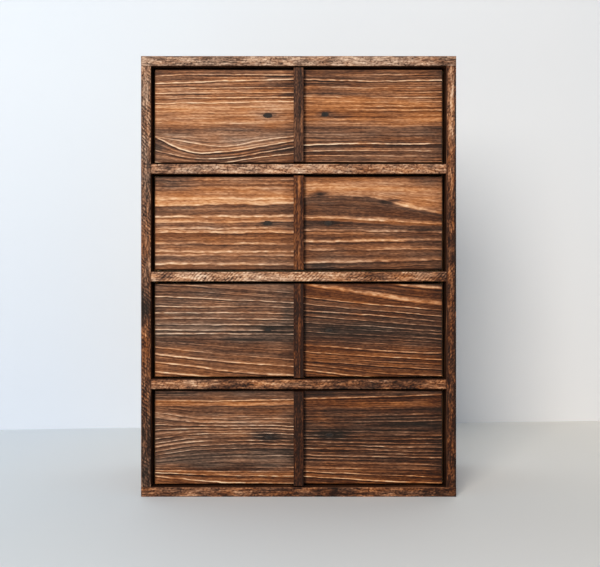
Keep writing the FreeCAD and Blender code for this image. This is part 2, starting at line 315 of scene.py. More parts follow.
def ring_group():
    """Growth rings: the distance from a pith that runs a little askew beside the board, bent by
    a slow noise and counted off in rings, with lean and fat years by a slow sine of the count.
    Rings builds up through each year and ends sharply, as late wood does, and Lines is its
    narrow crest less a share of the early wood; both are stronger in some years than others."""
    tree, given, out = new_group("growth rings", [
        ("Grain", "Vector"), ("Ring width", "Float"), ("Sway", "Float")], [
        ("Rings", "Float"), ("Lines", "Float")])
    grain = given.outputs["Grain"]
    along, aside, deep = split(tree, grain)
    bend = squeezed_noise(tree, grain, (5.0, 14.0, 14.0), 2.5)
    bent = calc(tree, "MULTIPLY", calc(tree, "SUBTRACT", bend, 0.5), given.outputs["Sway"])
    aside = calc(tree, "MULTIPLY_ADD", along, 0.035, aside)
    deep = calc(tree, "MULTIPLY_ADD", along, 0.05, deep)
    square = calc(tree, "MULTIPLY_ADD", aside, aside, calc(tree, "MULTIPLY", deep, deep))
    radius = calc(tree, "ADD", calc(tree, "SQRT", square), bent)
    count = calc(tree, "DIVIDE", radius, given.outputs["Ring width"])
    lean_years = calc(tree, "SINE", calc(tree, "MULTIPLY", count, 0.9))
    count = calc(tree, "MULTIPLY_ADD", lean_years, 0.42, count)
    part = calc(tree, "FRACT", count)
    year = node(tree, "TexWhiteNoise", {"W": calc(tree, "FLOOR", count)},
                noise_dimensions="1D")
    strong = calc(tree, "MULTIPLY_ADD", year, 0.75, 0.25)
    fall = spread_value(tree, part, 0.92, 1.0, 1.0, 0.0)
    rise = spread_value(tree, part, 0.40, 0.90)
    crest = spread_value(tree, part, 0.66, 0.93)
    ring, line = (
        calc(tree, "MULTIPLY", calc(tree, "MULTIPLY", start, fall), strong)
        for start in (rise, crest))
    early = spread_value(tree, part, 0.0, 0.40, 0.30, 0.0)
    plug(tree, out, {"Rings": ring, "Lines": calc(tree, "SUBTRACT", line, early)})
    return tree


def stain_group():
    """The colour of dark-stained pine. Tone 0 is a charred-looking dark, 1 the gold of hard
    late wood that took no stain; warmth leans it from grey-violet to orange. Fibres and clouds
    swing the tone and pores darken it. Gloss, a roughness, rises with fibres and pores."""
    tree, given, out = new_group("dark stain", [
        ("Tone", "Float"), ("Warmth", "Float"), ("Fibres", "Float"), ("Pores", "Float"),
        ("Clouds", "Float")], [("Colour", "Color"), ("Gloss", "Float")])
    reads = given.outputs
    tone = swing(tree, reads["Fibres"], 0.22, reads["Tone"])
    tone = calc(tree, "MULTIPLY_ADD", reads["Pores"], -0.10, tone)
    tone = swing(tree, reads["Clouds"], 0.08, tone)
    warm = ramp(tree, tone, (0.00, 36, 15, 5), (0.20, 80, 40, 17), (0.40, 131, 76, 38),
                (0.58, 179, 113, 65), (0.78, 219, 162, 113), (1.00, 241, 205, 164))
    cool = ramp(tree, tone, (0.00, 30, 22, 16), (0.20, 60, 45, 36), (0.40, 102, 77, 62),
                (0.58, 151, 118, 96), (0.78, 198, 164, 138), (1.00, 231, 203, 176))
    gloss = calc(tree, "MULTIPLY_ADD", reads["Fibres"], 0.14, 0.50)
    gloss = calc(tree, "MULTIPLY_ADD", reads["Pores"], 0.2, gloss)
    plug(tree, out, {"Colour": mix_colour(tree, reads["Warmth"], cool, warm), "Gloss": gloss})
    return tree


def bare_wood_group():
    """Unstained pine or veneer: straw between pale tan rings, darker by a share of each of its
    four inputs."""
    shares = (("Rings", 0.55), ("Fibres", 0.18), ("Pores", 0.25), ("Clouds", 0.12))
    tree, given, out = new_group("bare pine", [(label, "Float") for label, _ in shares],
                                 [("Colour", "Color")])
    depth = 0.12
    for label, share in shares:
        depth = calc(tree, "MULTIPLY_ADD", given.outputs[label], share, depth)
    tree.links.new(ramp(tree, depth, (0.0, 236, 212, 170), (0.45, 222, 188, 139),
                        (0.8, 196, 147, 94), (1.0, 160, 110, 66)), out.inputs["Colour"])
    return tree


FIBRES = fibre_group()
RINGS = ring_group()
STAIN = stain_group()
BARE = bare_wood_group()
# The turn that brings the grain of a board to X, by the way it runs.
GRAIN_TURNS = {
    "x": (0.0, 0.0, 0.0), "y": (0.0, 0.0, -QUARTER_TURN), "z": (0.0, QUARTER_TURN, 0.0)}


def new_material(name):
    """An empty node material: its tree, its Principled shader and its output."""
    material = bpy.data.materials.new(name)
    material.use_nodes = True
    tree = material.node_tree
    tree.nodes.clear()
    out = tree.nodes.new("ShaderNodeOutputMaterial")
    shader = tree.nodes.new("ShaderNodeBsdfPrincipled")
    tree.links.new(shader.outputs[0], out.inputs[0])
    return material, tree, shader


def grain_coordinates(tree, along, solid, pith):
    """Object coordinates turned so that the grain runs along X, and shifted so that the board's
    middle lies at a given place from the pith: along it, aside of it and above it."""
    low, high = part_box(solid)
    x, y, z = (low + high) / 2
    middle = {"x": (x, y, z), "y": (y, -x, z), "z": (z, y, -x)}[along]
    return node(tree, "Mapping", {
        "Vector": node(tree, "TexCoord", {}, "Object"), "Rotation": GRAIN_TURNS[along],
        "Location": [there - here for there, here in zip(pith, middle)]})


def read_layer(tree, layer):
    """The number that a mesh keeps at each point."""
    return node(tree, "Attribute", {}, "Fac", attribute_name=layer)


def bump(tree, height, distance, shader):
    """Feeds a height in metres to the shader's normal."""
    plug(tree, shader, {"Normal": node(tree, "Bump", {
        "Height": height, "Distance": distance, "Strength": 1.0})})


def new_wood(name, along, solid, pith, ring_width, sway):
    """An empty material with the outputs of its fibres and of its growth rings, both laid along
    the grain of a board."""
    material, tree, shader = new_material(name)
    grain = grain_coordinates(tree, along, solid, pith)
    fibres = use_group(tree, FIBRES, {"Grain": grain})
    rings = use_group(tree, RINGS, {"Grain": grain, "Ring width": ring_width, "Sway": sway})
    return material, tree, shader, fibres, rings


def fine_grain(fibres):
    """The three outputs of the fibres that every colour of wood takes."""
    return {label: fibres[label] for label in ("Fibres", "Pores", "Clouds")}


def stained_material(name, along, solid, pith, ring_share):
    """Stained pine that reads four numbers from its mesh: tone, warmth, bare, which is 1 on
    wood that took no stain, and close, which is 1 where the mesh has all the figure. Elsewhere
    the shader adds ring lines, by ring_share, with strands and clouds."""
    material, tree, shader, fibres, rings = new_wood(
        name, along, solid, pith, ring_width=0.0072, sway=0.018)
    figure = calc(tree, "MULTIPLY", calc(tree, "SUBTRACT", rings["Lines"], 0.04), ring_share)
    figure = swing(tree, fibres["Clouds"], 0.09, figure)
    figure = swing(tree, fibres["Strands"], 0.20, figure)
    broad = calc(tree, "SUBTRACT", 1.0, read_layer(tree, "close"))
    tone = calc(tree, "MULTIPLY_ADD", figure, broad, read_layer(tree, "tone"))
    stain = use_group(tree, STAIN, {
        "Tone": tone, "Warmth": read_layer(tree, "warmth"), **fine_grain(fibres)})
    bare = use_group(tree, BARE, {"Rings": rings["Rings"], **fine_grain(fibres)})[0]
    ragged = calc(tree, "MULTIPLY_ADD", fibres["Clouds"], 0.5, read_layer(tree, "bare"))
    share = spread_value(tree, ragged, 0.65, 0.85)
    plug(tree, shader, {
        "Base Color": mix_colour(tree, share, stain["Colour"], bare),
        "Roughness": stain["Gloss"], "Specular IOR Level": 0.12})
    bump(tree, calc(tree, "SUBTRACT", fibres["Fibres"], fibres["Pores"]), 0.00006, shader)
    return material


# A drawing of the front is ruled in steps of 1.297 mm, with columns counted to the right and
# lines downwards. It gives its middle column, and one line with its height above the floor.
# Marks on the wood are placed by column and line.
RULE = 0.001297
MIDDLE_COLUMN = 298.6
LEVEL_LINE, LEVEL = 283.5, 0.275


def to_column(x):
    """Metres across the cabinet to columns of the drawing."""
    return x / RULE + MIDDLE_COLUMN


def to_line(z):
    """Metres above the floor to lines of the drawing."""
    return LEVEL_LINE + (LEVEL - z) / RULE


def patches(columns, lines, table):
    """Soft oval marks, each a bell curve with its own half-width across and down, and with its
    own change of tone and of warmth."""
    tone, warmth = np.zeros_like(columns), np.zeros_like(columns)
    for column, line, wide, tall, lighter, warmer in table:
        bell = np.exp(-((columns - column) / wide) ** 2 - ((lines - line) / tall) ** 2)
        tone += lighter * bell
        warmth += warmer * bell
    return tone, warmth


# Each front edge: tone, warmth, strength of its saw marks and their slant in columns to a
# line, then soft marks: column, line, half-width, half-height, lighter by, warmer by.
EDGE_LOOKS = {
    "top_board": (0.61, 0.06, 0.04, -0.8, (
        (160, 61, 14, 6, -0.03, 0.0), (208, 62, 16, 6, -0.10, 0.0),
        (232, 62, 14, 6, -0.17, 0.0), (262, 61, 16, 6, 0.06, 0.0),
        (405, 62, 18, 6, -0.05, 0.0), (440, 62, 12, 6, -0.21, 0.10))),
    "shelf_1": (0.585, 0.34, 0.06, -0.9, (
        (165, 170, 10, 6, -0.19, 0.0), (212, 170, 30, 5, -0.04, -0.15),
        (262, 171, 12, 5, -0.04, -0.10), (302, 170, 16, 5, 0.05, 0.0),
        (340, 170, 16, 5, -0.08, 0.10), (371, 170, 13, 5, -0.15, 0.25),
        (410, 171, 24, 5, 0.03, 0.30), (436, 170, 10, 6, -0.08, 0.10))),
    "shelf_2": (0.58, 0.42, 0.18, -1.0, (
        (165, 277, 8, 6, -0.16, 0.0), (197, 277, 14, 6, 0.11, -0.20),
        (240, 277, 30, 6, 0.05, -0.20), (303, 277, 18, 6, 0.09, -0.10),
        (338, 278, 12, 6, -0.03, 0.05), (374, 278, 16, 6, -0.24, 0.25),
        (404, 277, 14, 5, -0.03, 0.25), (438, 278, 12, 5, -0.35, 0.30))),
    "shelf_3": (0.385, 0.56, 0.06, -0.8, (
        (186, 384, 26, 5, 0.19, -0.20), (230, 385, 14, 6, -0.15, 0.0),
        (268, 384, 16, 5, 0.09, 0.10), (302, 385, 14, 5, -0.07, 0.0),
        (340, 385, 18, 5, -0.16, 0.0), (372, 385, 14, 5, -0.16, 0.0),
        (385, 384, 4, 5, 0.18, 0.0), (407, 385, 14, 5, -0.28, 0.0),
        (437, 384, 8, 5, 0.06, 0.30))),
    "bottom_board": (0.34, 0.64, 0.05, -0.8, (
        (165, 490, 15, 5, 0.05, -0.20), (200, 491, 18, 5, 0.12, -0.10),
        (238, 490, 13, 5, 0.12, 0.0), (268, 490, 14, 5, -0.04, 0.0),
        (336, 490, 19, 6, -0.28, 0.0), (372, 490, 16, 5, 0.06, 0.10),
        (405, 490, 12, 5, -0.03, 0.0), (434, 491, 13, 5, -0.25, 0.0),
        (453, 490, 6, 7, -0.22, 0.0))),
    "side_left": (0.38, 0.44, 0.17, 0.9, (
        (146, 80, 8, 34, 0.16, -0.40), (146, 148, 8, 20, 0.11, -0.35),
        (146, 188, 8, 26, -0.03, -0.25), (146, 208, 8, 12, -0.07, -0.10),
        (146, 248, 8, 24, 0.05, 0.10), (145, 310, 7, 12, -0.46, -0.30),
        (145, 292, 7, 10, -0.13, 0.0), (147, 354, 8, 30, -0.13, 0.45),
        (146.6, 345, 2.2, 24, 0.06, 0.10), (146, 402, 8, 22, -0.08, 0.10),
        (146, 445, 8, 22, -0.18, -0.20), (146, 476, 8, 16, -0.20, -0.30),
        (151.5, 432, 2.6, 58, -0.16, 0.0))),
    "side_right": (0.195, 0.75, 0.08, -0.9, (
        (450, 108, 8, 42, 0.20, -0.25), (450, 68, 8, 18, 0.07, -0.10),
        (450.5, 110, 2.4, 46, 0.33, 0.0), (450, 190, 2.2, 34, 0.19, 0.0),
        (450, 208, 8, 12, -0.08, 0.0), (450, 262, 8, 16, -0.06, 0.0),
        (450, 290, 2.4, 40, 0.12, 0.0), (445.0, 270, 1.5, 300, -0.22, 0.0),
        (450, 400, 2.4, 34, 0.04, 0.0), (450, 412, 8, 28, -0.12, 0.0),
        # A full-height dark line down the outer arris: painted shade where the eased arris turns
        # away.
        (454.6, 270, 0.9, 300, -0.26, 0.0))),
}

# Which face of a board is its front edge, by the way its grain runs. Then the centres of the
# brads from front to back, of the shelves upwards and of the sides across.
EDGE_FACE = {"x": 3, "z": 0}
BRAD_DEPTHS = (-0.06868, -0.0016, 0.06547)
SHELF_MIDDLES = (0.14525, 0.28415, 0.42305)
SIDE_MIDDLES = (-0.19685, 0.19685)

# The inner faces of the openings, the limits past which a point is on an outer face, and the
# slack with which it counts as on an inner one. Then how far behind the front edge the stain
# begins to stop, over how much it fades, and how far in from its ends a board is darker.
FRONT_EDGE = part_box("side_left")[0].y
INNER = {"x": abs(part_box("side_left")[1].x), "low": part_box("bottom_board")[1].z,
         "high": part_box("top_board")[0].z}
OUTER = {"x": 0.2027, "low": 0.0006, "high": 0.5677}
HAIR = 0.0004
STAIN_END, STAIN_FADE, DARKER_END = 0.022, 0.006, 0.0016


def brad_dimples(u, v, u_places, v_places):
    """Filled brad holes, one at each crossing of the two lists: 1 in its middle, falling as
    exp(-(distance / radius)^4)."""
    radius = 0.0008
    cup = np.zeros_like(u + v)
    for at_u in u_places:
        for at_v in v_places:
            far = ((u - at_u) ** 2 + (v - at_v) ** 2) / radius ** 2
            cup = np.maximum(cup, np.exp(-far ** 2))
    return cup


def finish_layers(tone, warmth, bare, close):
    """The four numbers of each point that stained_material reads."""
    return {"tone": tone, "warmth": np.clip(warmth, 0, 1), "bare": bare, "close": close}


def case_surface(board, along, seed):
    """How deep each point of one case board lies, and its finish. The sawn front edge has grain,
    specks and pits, all longer than they are high, and saw strokes: a sine of the place along
    it, slanted, let drift, and cut in only here and there. The faces are even, darker at their
    ends and in the openings, and bare further in. Brad holes are shallow dark cups."""
    base, warm, saw, slant, marks = EDGE_LOOKS[board]

    def surface(x, y, z, face, edge):
        column, line = to_column(x), to_line(z)
        length, across = (column, line) if along == "x" else (line, column)
        close = (face == EDGE_FACE[along]) * 1.0
        grain = mottle(length / 9, across / 1.1, seed)
        speck = scatter(length / 1.7, across / 0.7, seed + 5)
        speck = 0.65 * speck + 0.65 * scatter(length / 5, across / 0.7, seed + 6)
        pits = np.clip(scatter(length / 0.9, across / 0.7, seed + 9) - 0.45, 0, 1)
        drift = 1.3 * mottle(length / 9, across / 6, seed + 9)
        stroke = 0.5 + 0.5 * np.sin((length - slant * across + drift) * 1.6)
        bite = np.clip(0.55 + 0.75 * scatter(length / 11, across / 5, seed + 3), 0, 1.2)
        ripple = (stroke ** 2.5 - 0.3) * bite
        cloud = 0.08 * mottle(length / 10, across / 4, seed + 11)
        lighter, warmer = patches(column, line, marks)
        tone = base + lighter + cloud + 0.15 * grain + 0.25 * speck - 0.9 * pits
        tone = tone - 2.2 * saw * ripple
        # Each board is darker close to its ends.
        edge_nearness = smooth_step((DARKER_END - edge) / DARKER_END)
        wide = 0.36 + 0.05 * mottle(length / 40, (x + y + z) / 0.02, seed + 7)
        tone = np.where(close > 0, tone, wide) - 0.10 * edge_nearness
        warmth = warm + warmer + 0.22 * mottle(length / 12, across / 4, seed + 11)
        warmth = np.where(close > 0, warmth, 0.6)
        depth = close * (0.00005 + 0.0005 * saw * np.clip(ripple, 0, 1) + 0.0001 * pits)
        if along == "z":
            inner = np.abs(x) < INNER["x"] + HAIR
            cup = brad_dimples(y, z, BRAD_DEPTHS, SHELF_MIDDLES) * (np.abs(x) > OUTER["x"])
        else:
            inner = (z > INNER["low"] - HAIR) & (z < INNER["high"] + HAIR)
            inner &= np.abs(x) < INNER["x"] + HAIR
            cup = brad_dimples(x, y, SIDE_MIDDLES, BRAD_DEPTHS)
            cup = cup * ((z > OUTER["high"]) | (z < OUTER["low"]))
        tone = np.where(inner & (close == 0), 0.10, tone)
        depth = depth + 0.00045 * cup
        tone = tone - 0.30 * cup
        bare = inner * smooth_step((y - FRONT_EDGE - STAIN_END) / STAIN_FADE)
        return depth, finish_layers(tone, warmth, bare, close)

    return surface


# Gaps between the points up the front edge, over the other faces and along the board, and
# the radius of the eased arrises. Each board is sawn from another place in the tree.
FINE, COARSE, STEP, ARRIS = 0.0006, 0.009, 0.0009, 0.0008
for number, board in enumerate(EDGE_LOOKS):
    along = "z" if board.startswith("side") else "x"
    pitches = [COARSE] * 4
    pitches[EDGE_FACE[along]] = FINE
    knots, stops = ((),) * 4, ()
    if along == "z":
        knots, stops = ((), BRAD_DEPTHS, (), BRAD_DEPTHS), SHELF_MIDDLES
    elif not board.startswith("shelf"):
        knots, stops = (BRAD_DEPTHS, (), BRAD_DEPTHS, ()), SIDE_MIDDLES
    piece = plane_board(f"{board}_planed", board, along, ARRIS, pitches, STEP,
                        case_surface(board, along, 20 * number + 3), knots, stops)
    pith = (0.9 * number - 2.0, 0.012 * number - 0.03, 0.035)
    piece.data.materials.append(
        stained_material(f"stained {board}", along, board, pith, ring_share=0.27))
    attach(piece, "case")
    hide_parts(board)


# ---------------------------------------------------------------- back and brads
# A plywood panel nailed over the back of the case, and the square wire brads of every joint.
# The panel's outer veneer runs upwards; its edges show the plies.

def plywood_material(name, along, solid, layers_along, sheets, pith):
    """Birch-faced plywood: bare veneer on its faces, and on its edges the light and dark plies
    counted off through its thickness. A face is where the normal leans to the thickness."""
    material, tree, shader, fibres, rings = new_wood(
        name, along, solid, pith, ring_width=0.012, sway=0.05)
    face = use_group(tree, BARE, {
        "Rings": calc(tree, "MULTIPLY", rings["Rings"], 0.5), **fine_grain(fibres)})[0]
    axis = "XYZ".index(layers_along)
    place = split(tree, node(tree, "TexCoord", {}, "Object"))[axis]
    low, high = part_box(solid)
    through = spread_value(tree, place, low[axis], high[axis], 0.0, sheets)
    half_count = calc(tree, "FRACT", calc(tree, "MULTIPLY", through, 0.5))
    dark = calc(tree, "GREATER_THAN", half_count, 0.5)
    plies = mix_colour(tree, dark, paint(214, 180, 132), paint(150, 105, 66))
    plies = mix_colour(tree, calc(tree, "MULTIPLY", fibres["Fibres"], 0.35), plies,
                       paint(120, 84, 52))
    normal = split(tree, node(tree, "NewGeometry", {}, "Normal"))[axis]
    share = calc(tree, "LESS_THAN", calc(tree, "ABSOLUTE", normal), 0.5)
    plug(tree, shader, {
        "Base Color": mix_colour(tree, share, face, plies),
        "Roughness": calc(tree, "MULTIPLY_ADD", fibres["Fibres"], 0.15, 0.58)})
    bump(tree, calc(tree, "SUBTRACT", fibres["Fibres"], fibres["Pores"]), 0.00005, shader)
    return material


def wire_material(name):
    """Bright drawn steel wire, dulled in patches by one noise and finely marked by another."""
    material, tree, shader = new_material(name)
    place = node(tree, "TexCoord", {}, "Object")
    dull = node(tree, "TexNoise", {"Vector": place, "Scale": 900.0, "Detail": 3.0})
    fine = node(tree, "TexNoise", {"Vector": place, "Scale": 5200.0, "Detail": 1.0})
    plug(tree, shader, {
        "Base Color": ramp(tree, dull, (0.3, 148, 148, 146), (0.6, 188, 187, 183),
                           (0.75, 120, 108, 96)),
        "Roughness": spread_value(tree, dull, 0.3, 0.7, 0.25, 0.5), "Metallic": 1.0})
    bump(tree, fine, 0.00002, shader)
    return material


def finish_node(name, material):
    """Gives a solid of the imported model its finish."""
    nodes[name].material_slots[0].material = material


finish_node("back_panel", plywood_material(
    "back plywood", "z", "back_panel", "Y", 5.0, (0.3, 0.045, 0.06)))
WIRE = wire_material("brad wire")
for brads in ("shelf_brads", "top_and_bottom_brads", "back_brads"):
    finish_node(brads, WIRE)


# ---------------------------------------------------------------- drawer boxes
# Four walls of 12.7 mm bare pine, the sides lapping the ends, grooved for a thin plywood
# bottom that slides in dry. Two brads hold each corner.

def bare_pine_material(name, along, solid, pith):
    """Planed, unstained pine with flat-sawn rings along the wall, raised a little by them."""
    material, tree, shader, fibres, rings = new_wood(
        name, along, solid, pith, ring_width=0.005, sway=0.02)
    plug(tree, shader, {
        "Base Color": use_group(tree, BARE, {"Rings": rings["Rings"], **fine_grain(fibres)})[0],
        "Roughness": calc(tree, "MULTIPLY_ADD", fibres["Fibres"], 0.15, 0.55)})
    bump(tree, calc(tree, "MULTIPLY_ADD", rings["Rings"], 0.6, fibres["Fibres"]), 0.00006,
         shader)
    return material


WALLS = (("box_front", "x"), ("box_back", "x"), ("box_left", "y"), ("box_right", "y"))
for drawer in range(1, 5):
    for number, (wall, along) in enumerate(WALLS):
        solid = f"drawer_{drawer}_{wall}"
        pith = (0.8 * number - 0.4 * drawer, 0.03 + 0.01 * number, 0.012 * drawer - 0.03)
        finish_node(solid, bare_pine_material(f"bare pine {drawer} {wall}", along, solid, pith))
    solid = f"drawer_{drawer}_bottom"
    finish_node(solid, plywood_material(
        f"bottom plywood {drawer}", "y", solid, "Z", 3.0, (0.5 * drawer, 0.05, 0.07)))
    finish_node(f"drawer_{drawer}_brads", WIRE)
    finish_node(f"drawer_{drawer}_screws", WIRE)


# ---------------------------------------------------------------- drawer fronts
# One 19 mm fir board to a drawer, its halves set apart by the strip. Wire brushing has
# worn the soft early wood down between the hard late-wood lines; dark stain fills it.

# A front has its top and bottom line, two halves and soft marks as on the case edges. A half
# has five columns, the tone and warmth of the wood over its first seam, and its seams. A seam
# is a line that the grain follows: its heights at the five columns, the half-width and the
# strength of the light or dark line on it, and the tone and warmth of the wood below.
LEFT = (155, 190, 225, 260, 295)
RIGHT = (306, 340, 374, 408, 441)

# The fronts are darker from the top drawer down to the bottom one: partly the boards' own tone,
# partly painted shade of the light falling off downwards.
FRONT_1 = ((70.8, 163.6), (
    (LEFT, (0.35, 0.59), (
        ((77.6, 75.7, 75.7, 75.9, 76.2), 0.9, 0.28, 0.39, 0.63),
        ((80.6, 79.2, 78.8, 78.6, 78.4), 0.6, 0.10, 0.47, 0.63),
        ((84.5, 83.6, 82.0, 81.2, 80.4), 1.0, 0.38, 0.45, 0.63),
        ((89.6, 89.3, 89.1, 88.8, 88.6), 0.8, 0.25, 0.53, 0.68),
        ((94.5, 94.2, 94.0, 93.8, 93.6), 0.8, 0.22, 0.53, 0.68),
        ((99.5, 98.9, 98.6, 98.5, 98.4), 0.8, 0.25, 0.55, 0.73),
        ((104.9, 104.1, 103.6, 102.9, 102.2), 0.8, 0.25, 0.65, 0.78),
        ((109.6, 109.0, 108.6, 108.2, 107.8), 0.6, 0.15, 0.65, 0.78),
        ((114.4, 114.0, 113.8, 113.6, 113.4), 0.5, 0.10, 0.59, 0.73),
        ((119.5, 119.3, 119.0, 118.8, 118.8), 0.6, 0.12, 0.62, 0.73),
        ((125.0, 124.8, 124.8, 124.6, 124.4), 0.6, 0.14, 0.55, 0.63),
        ((129.4, 129.4, 129.3, 129.0, 128.8), 0.5, -0.14, 0.47, 0.38),
        ((134.4, 134.2, 134.4, 134.0, 134.0), 0.5, 0.06, 0.49, 0.33),
        ((137.2, 143.4, 147.0, 141.5, 137.0), 0.8, 0.30, 0.59, 0.47),
        ((137.9, 152.8, 152.4, 147.6, 141.2), 0.9, 0.45, 0.39, 0.47),
        ((151.0, 158.6, 158.8, 153.8, 147.6), 0.9, 0.42, 0.39, 0.52),
        ((163.0, 166.0, 163.0, 158.0, 154.2), 0.8, 0.36, 0.41, 0.57))),
    (RIGHT, (0.34, 0.56), (
        ((76.5, 76.2, 76.0, 75.8, 75.6), 0.6, 0.13, 0.41, 0.58),
        ((80.7, 81.6, 82.5, 81.9, 81.4), 1.0, 0.42, 0.40, 0.63),
        ((87.5, 88.3, 89.0, 88.8, 88.5), 0.8, 0.27, 0.45, 0.68),
        ((93.0, 93.2, 93.4, 93.4, 93.2), 0.5, 0.13, 0.45, 0.68),
        ((97.4, 98.0, 98.5, 98.5, 98.5), 0.8, 0.26, 0.47, 0.78),
        ((102.6, 102.9, 103.2, 103.2, 103.0), 0.7, 0.23, 0.49, 0.83),
        ((107.0, 107.2, 107.3, 107.3, 107.2), 0.5, 0.11, 0.49, 0.83),
        ((111.0, 111.0, 111.2, 111.0, 111.0), 0.7, 0.19, 0.47, 0.88),
        ((116.0, 116.2, 116.4, 116.2, 116.0), 0.5, 0.08, 0.49, 0.88),
        ((121.5, 121.8, 122.0, 122.0, 121.5), 0.5, 0.11, 0.51, 0.73),
        ((127.0, 127.2, 127.3, 127.4, 127.4), 0.6, -0.13, 0.37, 0.38),
        ((132.5, 132.6, 132.8, 132.7, 132.5), 0.5, 0.06, 0.39, 0.38),
        ((138.0, 138.2, 138.0, 138.0, 138.2), 0.5, 0.13, 0.43, 0.48),
        ((146.0, 144.8, 144.5, 145.0, 144.2), 1.0, 0.50, 0.36, 0.53),
        ((152.3, 151.5, 151.3, 151.6, 151.8), 0.8, 0.29, 0.33, 0.53),
        ((156.5, 156.5, 156.5, 156.8, 157.0), 0.7, 0.26, 0.35, 0.58),
        ((162.3, 162.2, 162.2, 162.3, 162.4), 0.7, 0.26, 0.35, 0.58)))),
    ((158, 147, 7, 6, -0.12, -0.40), (284, 150, 18, 4, -0.10, -0.25),
     (286, 86.5, 14, 1.6, -0.24, -0.25), (288, 96.0, 12, 1.4, -0.26, -0.25),
     (280, 78.4, 16, 1.0, -0.18, -0.20), (322, 77.9, 26, 1.0, -0.26, -0.30),
     (330, 84.6, 34, 1.0, -0.22, -0.25), (326, 94.8, 30, 1.0, -0.24, -0.25),
     (425, 119, 22, 6, 0.07, 0.20), (340, 116.5, 14, 1.6, -0.16, -0.20)))

FRONT_2 = ((177.8, 271.0), (
    (LEFT, (0.40, 0.57), (
        ((181.5, 181.3, 181.0, 181.0, 181.2), 0.7, 0.14, 0.45, 0.67),
        ((186.0, 185.8, 185.5, 185.3, 185.2), 0.6, 0.13, 0.50, 0.72),
        ((190.5, 190.3, 190.0, 190.0, 190.2), 0.7, 0.16, 0.54, 0.82),
        ((195.5, 195.2, 195.0, 195.0, 195.0), 0.6, 0.13, 0.60, 0.82),
        ((200.5, 200.3, 200.0, 200.2, 199.8), 0.7, 0.14, 0.66, 0.82),
        ((206.7, 207.0, 204.9, 205.7, 204.7), 0.9, 0.16, 0.38, 0.47),
        ((212.0, 211.8, 211.5, 211.5, 211.3), 0.6, 0.04, 0.38, 0.47),
        ((217.8, 218.0, 218.2, 217.8, 217.4), 0.8, 0.29, 0.58, 0.72),
        ((223.9, 223.6, 224.2, 223.2, 223.0), 0.7, 0.12, 0.36, 0.42),
        ((229.8, 229.9, 230.1, 229.8, 229.6), 0.7, 0.27, 0.55, 0.62),
        ((233.8, 233.9, 234.0, 233.8, 233.6), 0.7, 0.23, 0.38, 0.77),
        ((239.0, 239.2, 239.0, 239.0, 239.2), 0.5, 0.06, 0.40, 0.77),
        ((244.8, 244.8, 245.0, 245.2, 245.2), 0.8, 0.25, 0.40, 0.57),
        ((248.5, 248.5, 248.8, 249.0, 249.0), 0.5, 0.07, 0.42, 0.57),
        ((253.0, 253.0, 253.2, 253.2, 253.4), 0.8, 0.23, 0.52, 0.62),
        ((256.6, 256.6, 256.8, 256.8, 257.0), 0.6, 0.14, 0.40, 0.37),
        ((265.0, 265.0, 265.4, 265.6, 265.8), 1.0, 0.27, 0.40, 0.52))),
    (RIGHT, (0.35, 0.80), (
        ((181.0, 181.0, 181.2, 181.4, 181.6), 0.7, 0.08, 0.53, 0.79),
        ((186.0, 186.0, 186.2, 186.5, 187.0), 0.6, 0.06, 0.61, 0.81),
        ((189.5, 188.8, 190.4, 192.0, 194.0), 0.6, 0.05, 0.59, 0.81),
        ((198.4, 197.0, 199.6, 208.4, 214.4), 0.9, 0.06, 0.29, 0.45),
        ((206.0, 206.0, 207.2, 211.8, 217.4), 0.5, 0.04, 0.26, 0.65),
        ((217.7, 219.0, 221.2, 223.2, 224.5), 1.1, 0.28, 0.47, 0.90),
        ((221.5, 222.6, 224.6, 226.4, 227.6), 0.5, 0.04, 0.27, 0.45),
        ((231.4, 231.6, 232.0, 232.6, 233.4), 0.9, 0.29, 0.41, 0.65),
        ((235.2, 235.2, 235.4, 235.8, 236.0), 0.5, 0.07, 0.31, 0.65),
        ((242.8, 242.5, 242.0, 241.3, 240.7), 0.9, 0.27, 0.33, 0.60),
        ((250.8, 250.6, 250.4, 250.2, 250.0), 0.9, 0.23, 0.37, 0.60),
        ((257.0, 256.8, 256.5, 256.0, 255.6), 0.5, 0.07, 0.31, 0.55),
        ((263.7, 263.3, 262.7, 261.7, 260.6), 0.9, 0.27, 0.28, 0.45),
        ((268.5, 268.2, 267.6, 266.6, 265.6), 0.6, 0.09, 0.29, 0.50)))),
    ((170, 184, 24, 8, -0.17, -0.40), (282, 212, 16, 5, -0.08, 0.0),
     (320.5, 195.4, 6.5, 2.7, -0.52, -0.40), (312, 197.4, 5, 1.5, -0.28, -0.20),
     (331, 198.8, 3, 1.0, 0.14, 0.15), (345, 197.4, 7, 1.0, -0.20, -0.15),
     (366, 197.8, 5, 1.1, -0.26, -0.20), (388, 202.4, 8, 1.8, -0.36, -0.25),
     (396, 201.4, 4.5, 1.1, -0.30, -0.20), (397, 205.4, 4, 1.0, 0.28, 0.20),
     (406, 206.8, 8, 1.8, 0.32, 0.25), (419, 210.2, 8, 1.4, 0.24, 0.15),
     (432, 212.8, 6, 1.0, 0.16, 0.10),
     (425, 182, 18, 6, -0.16, -0.45), (422, 233, 18, 3, -0.22, 0.0),
     (318, 267, 14, 5, -0.08, -0.30)))

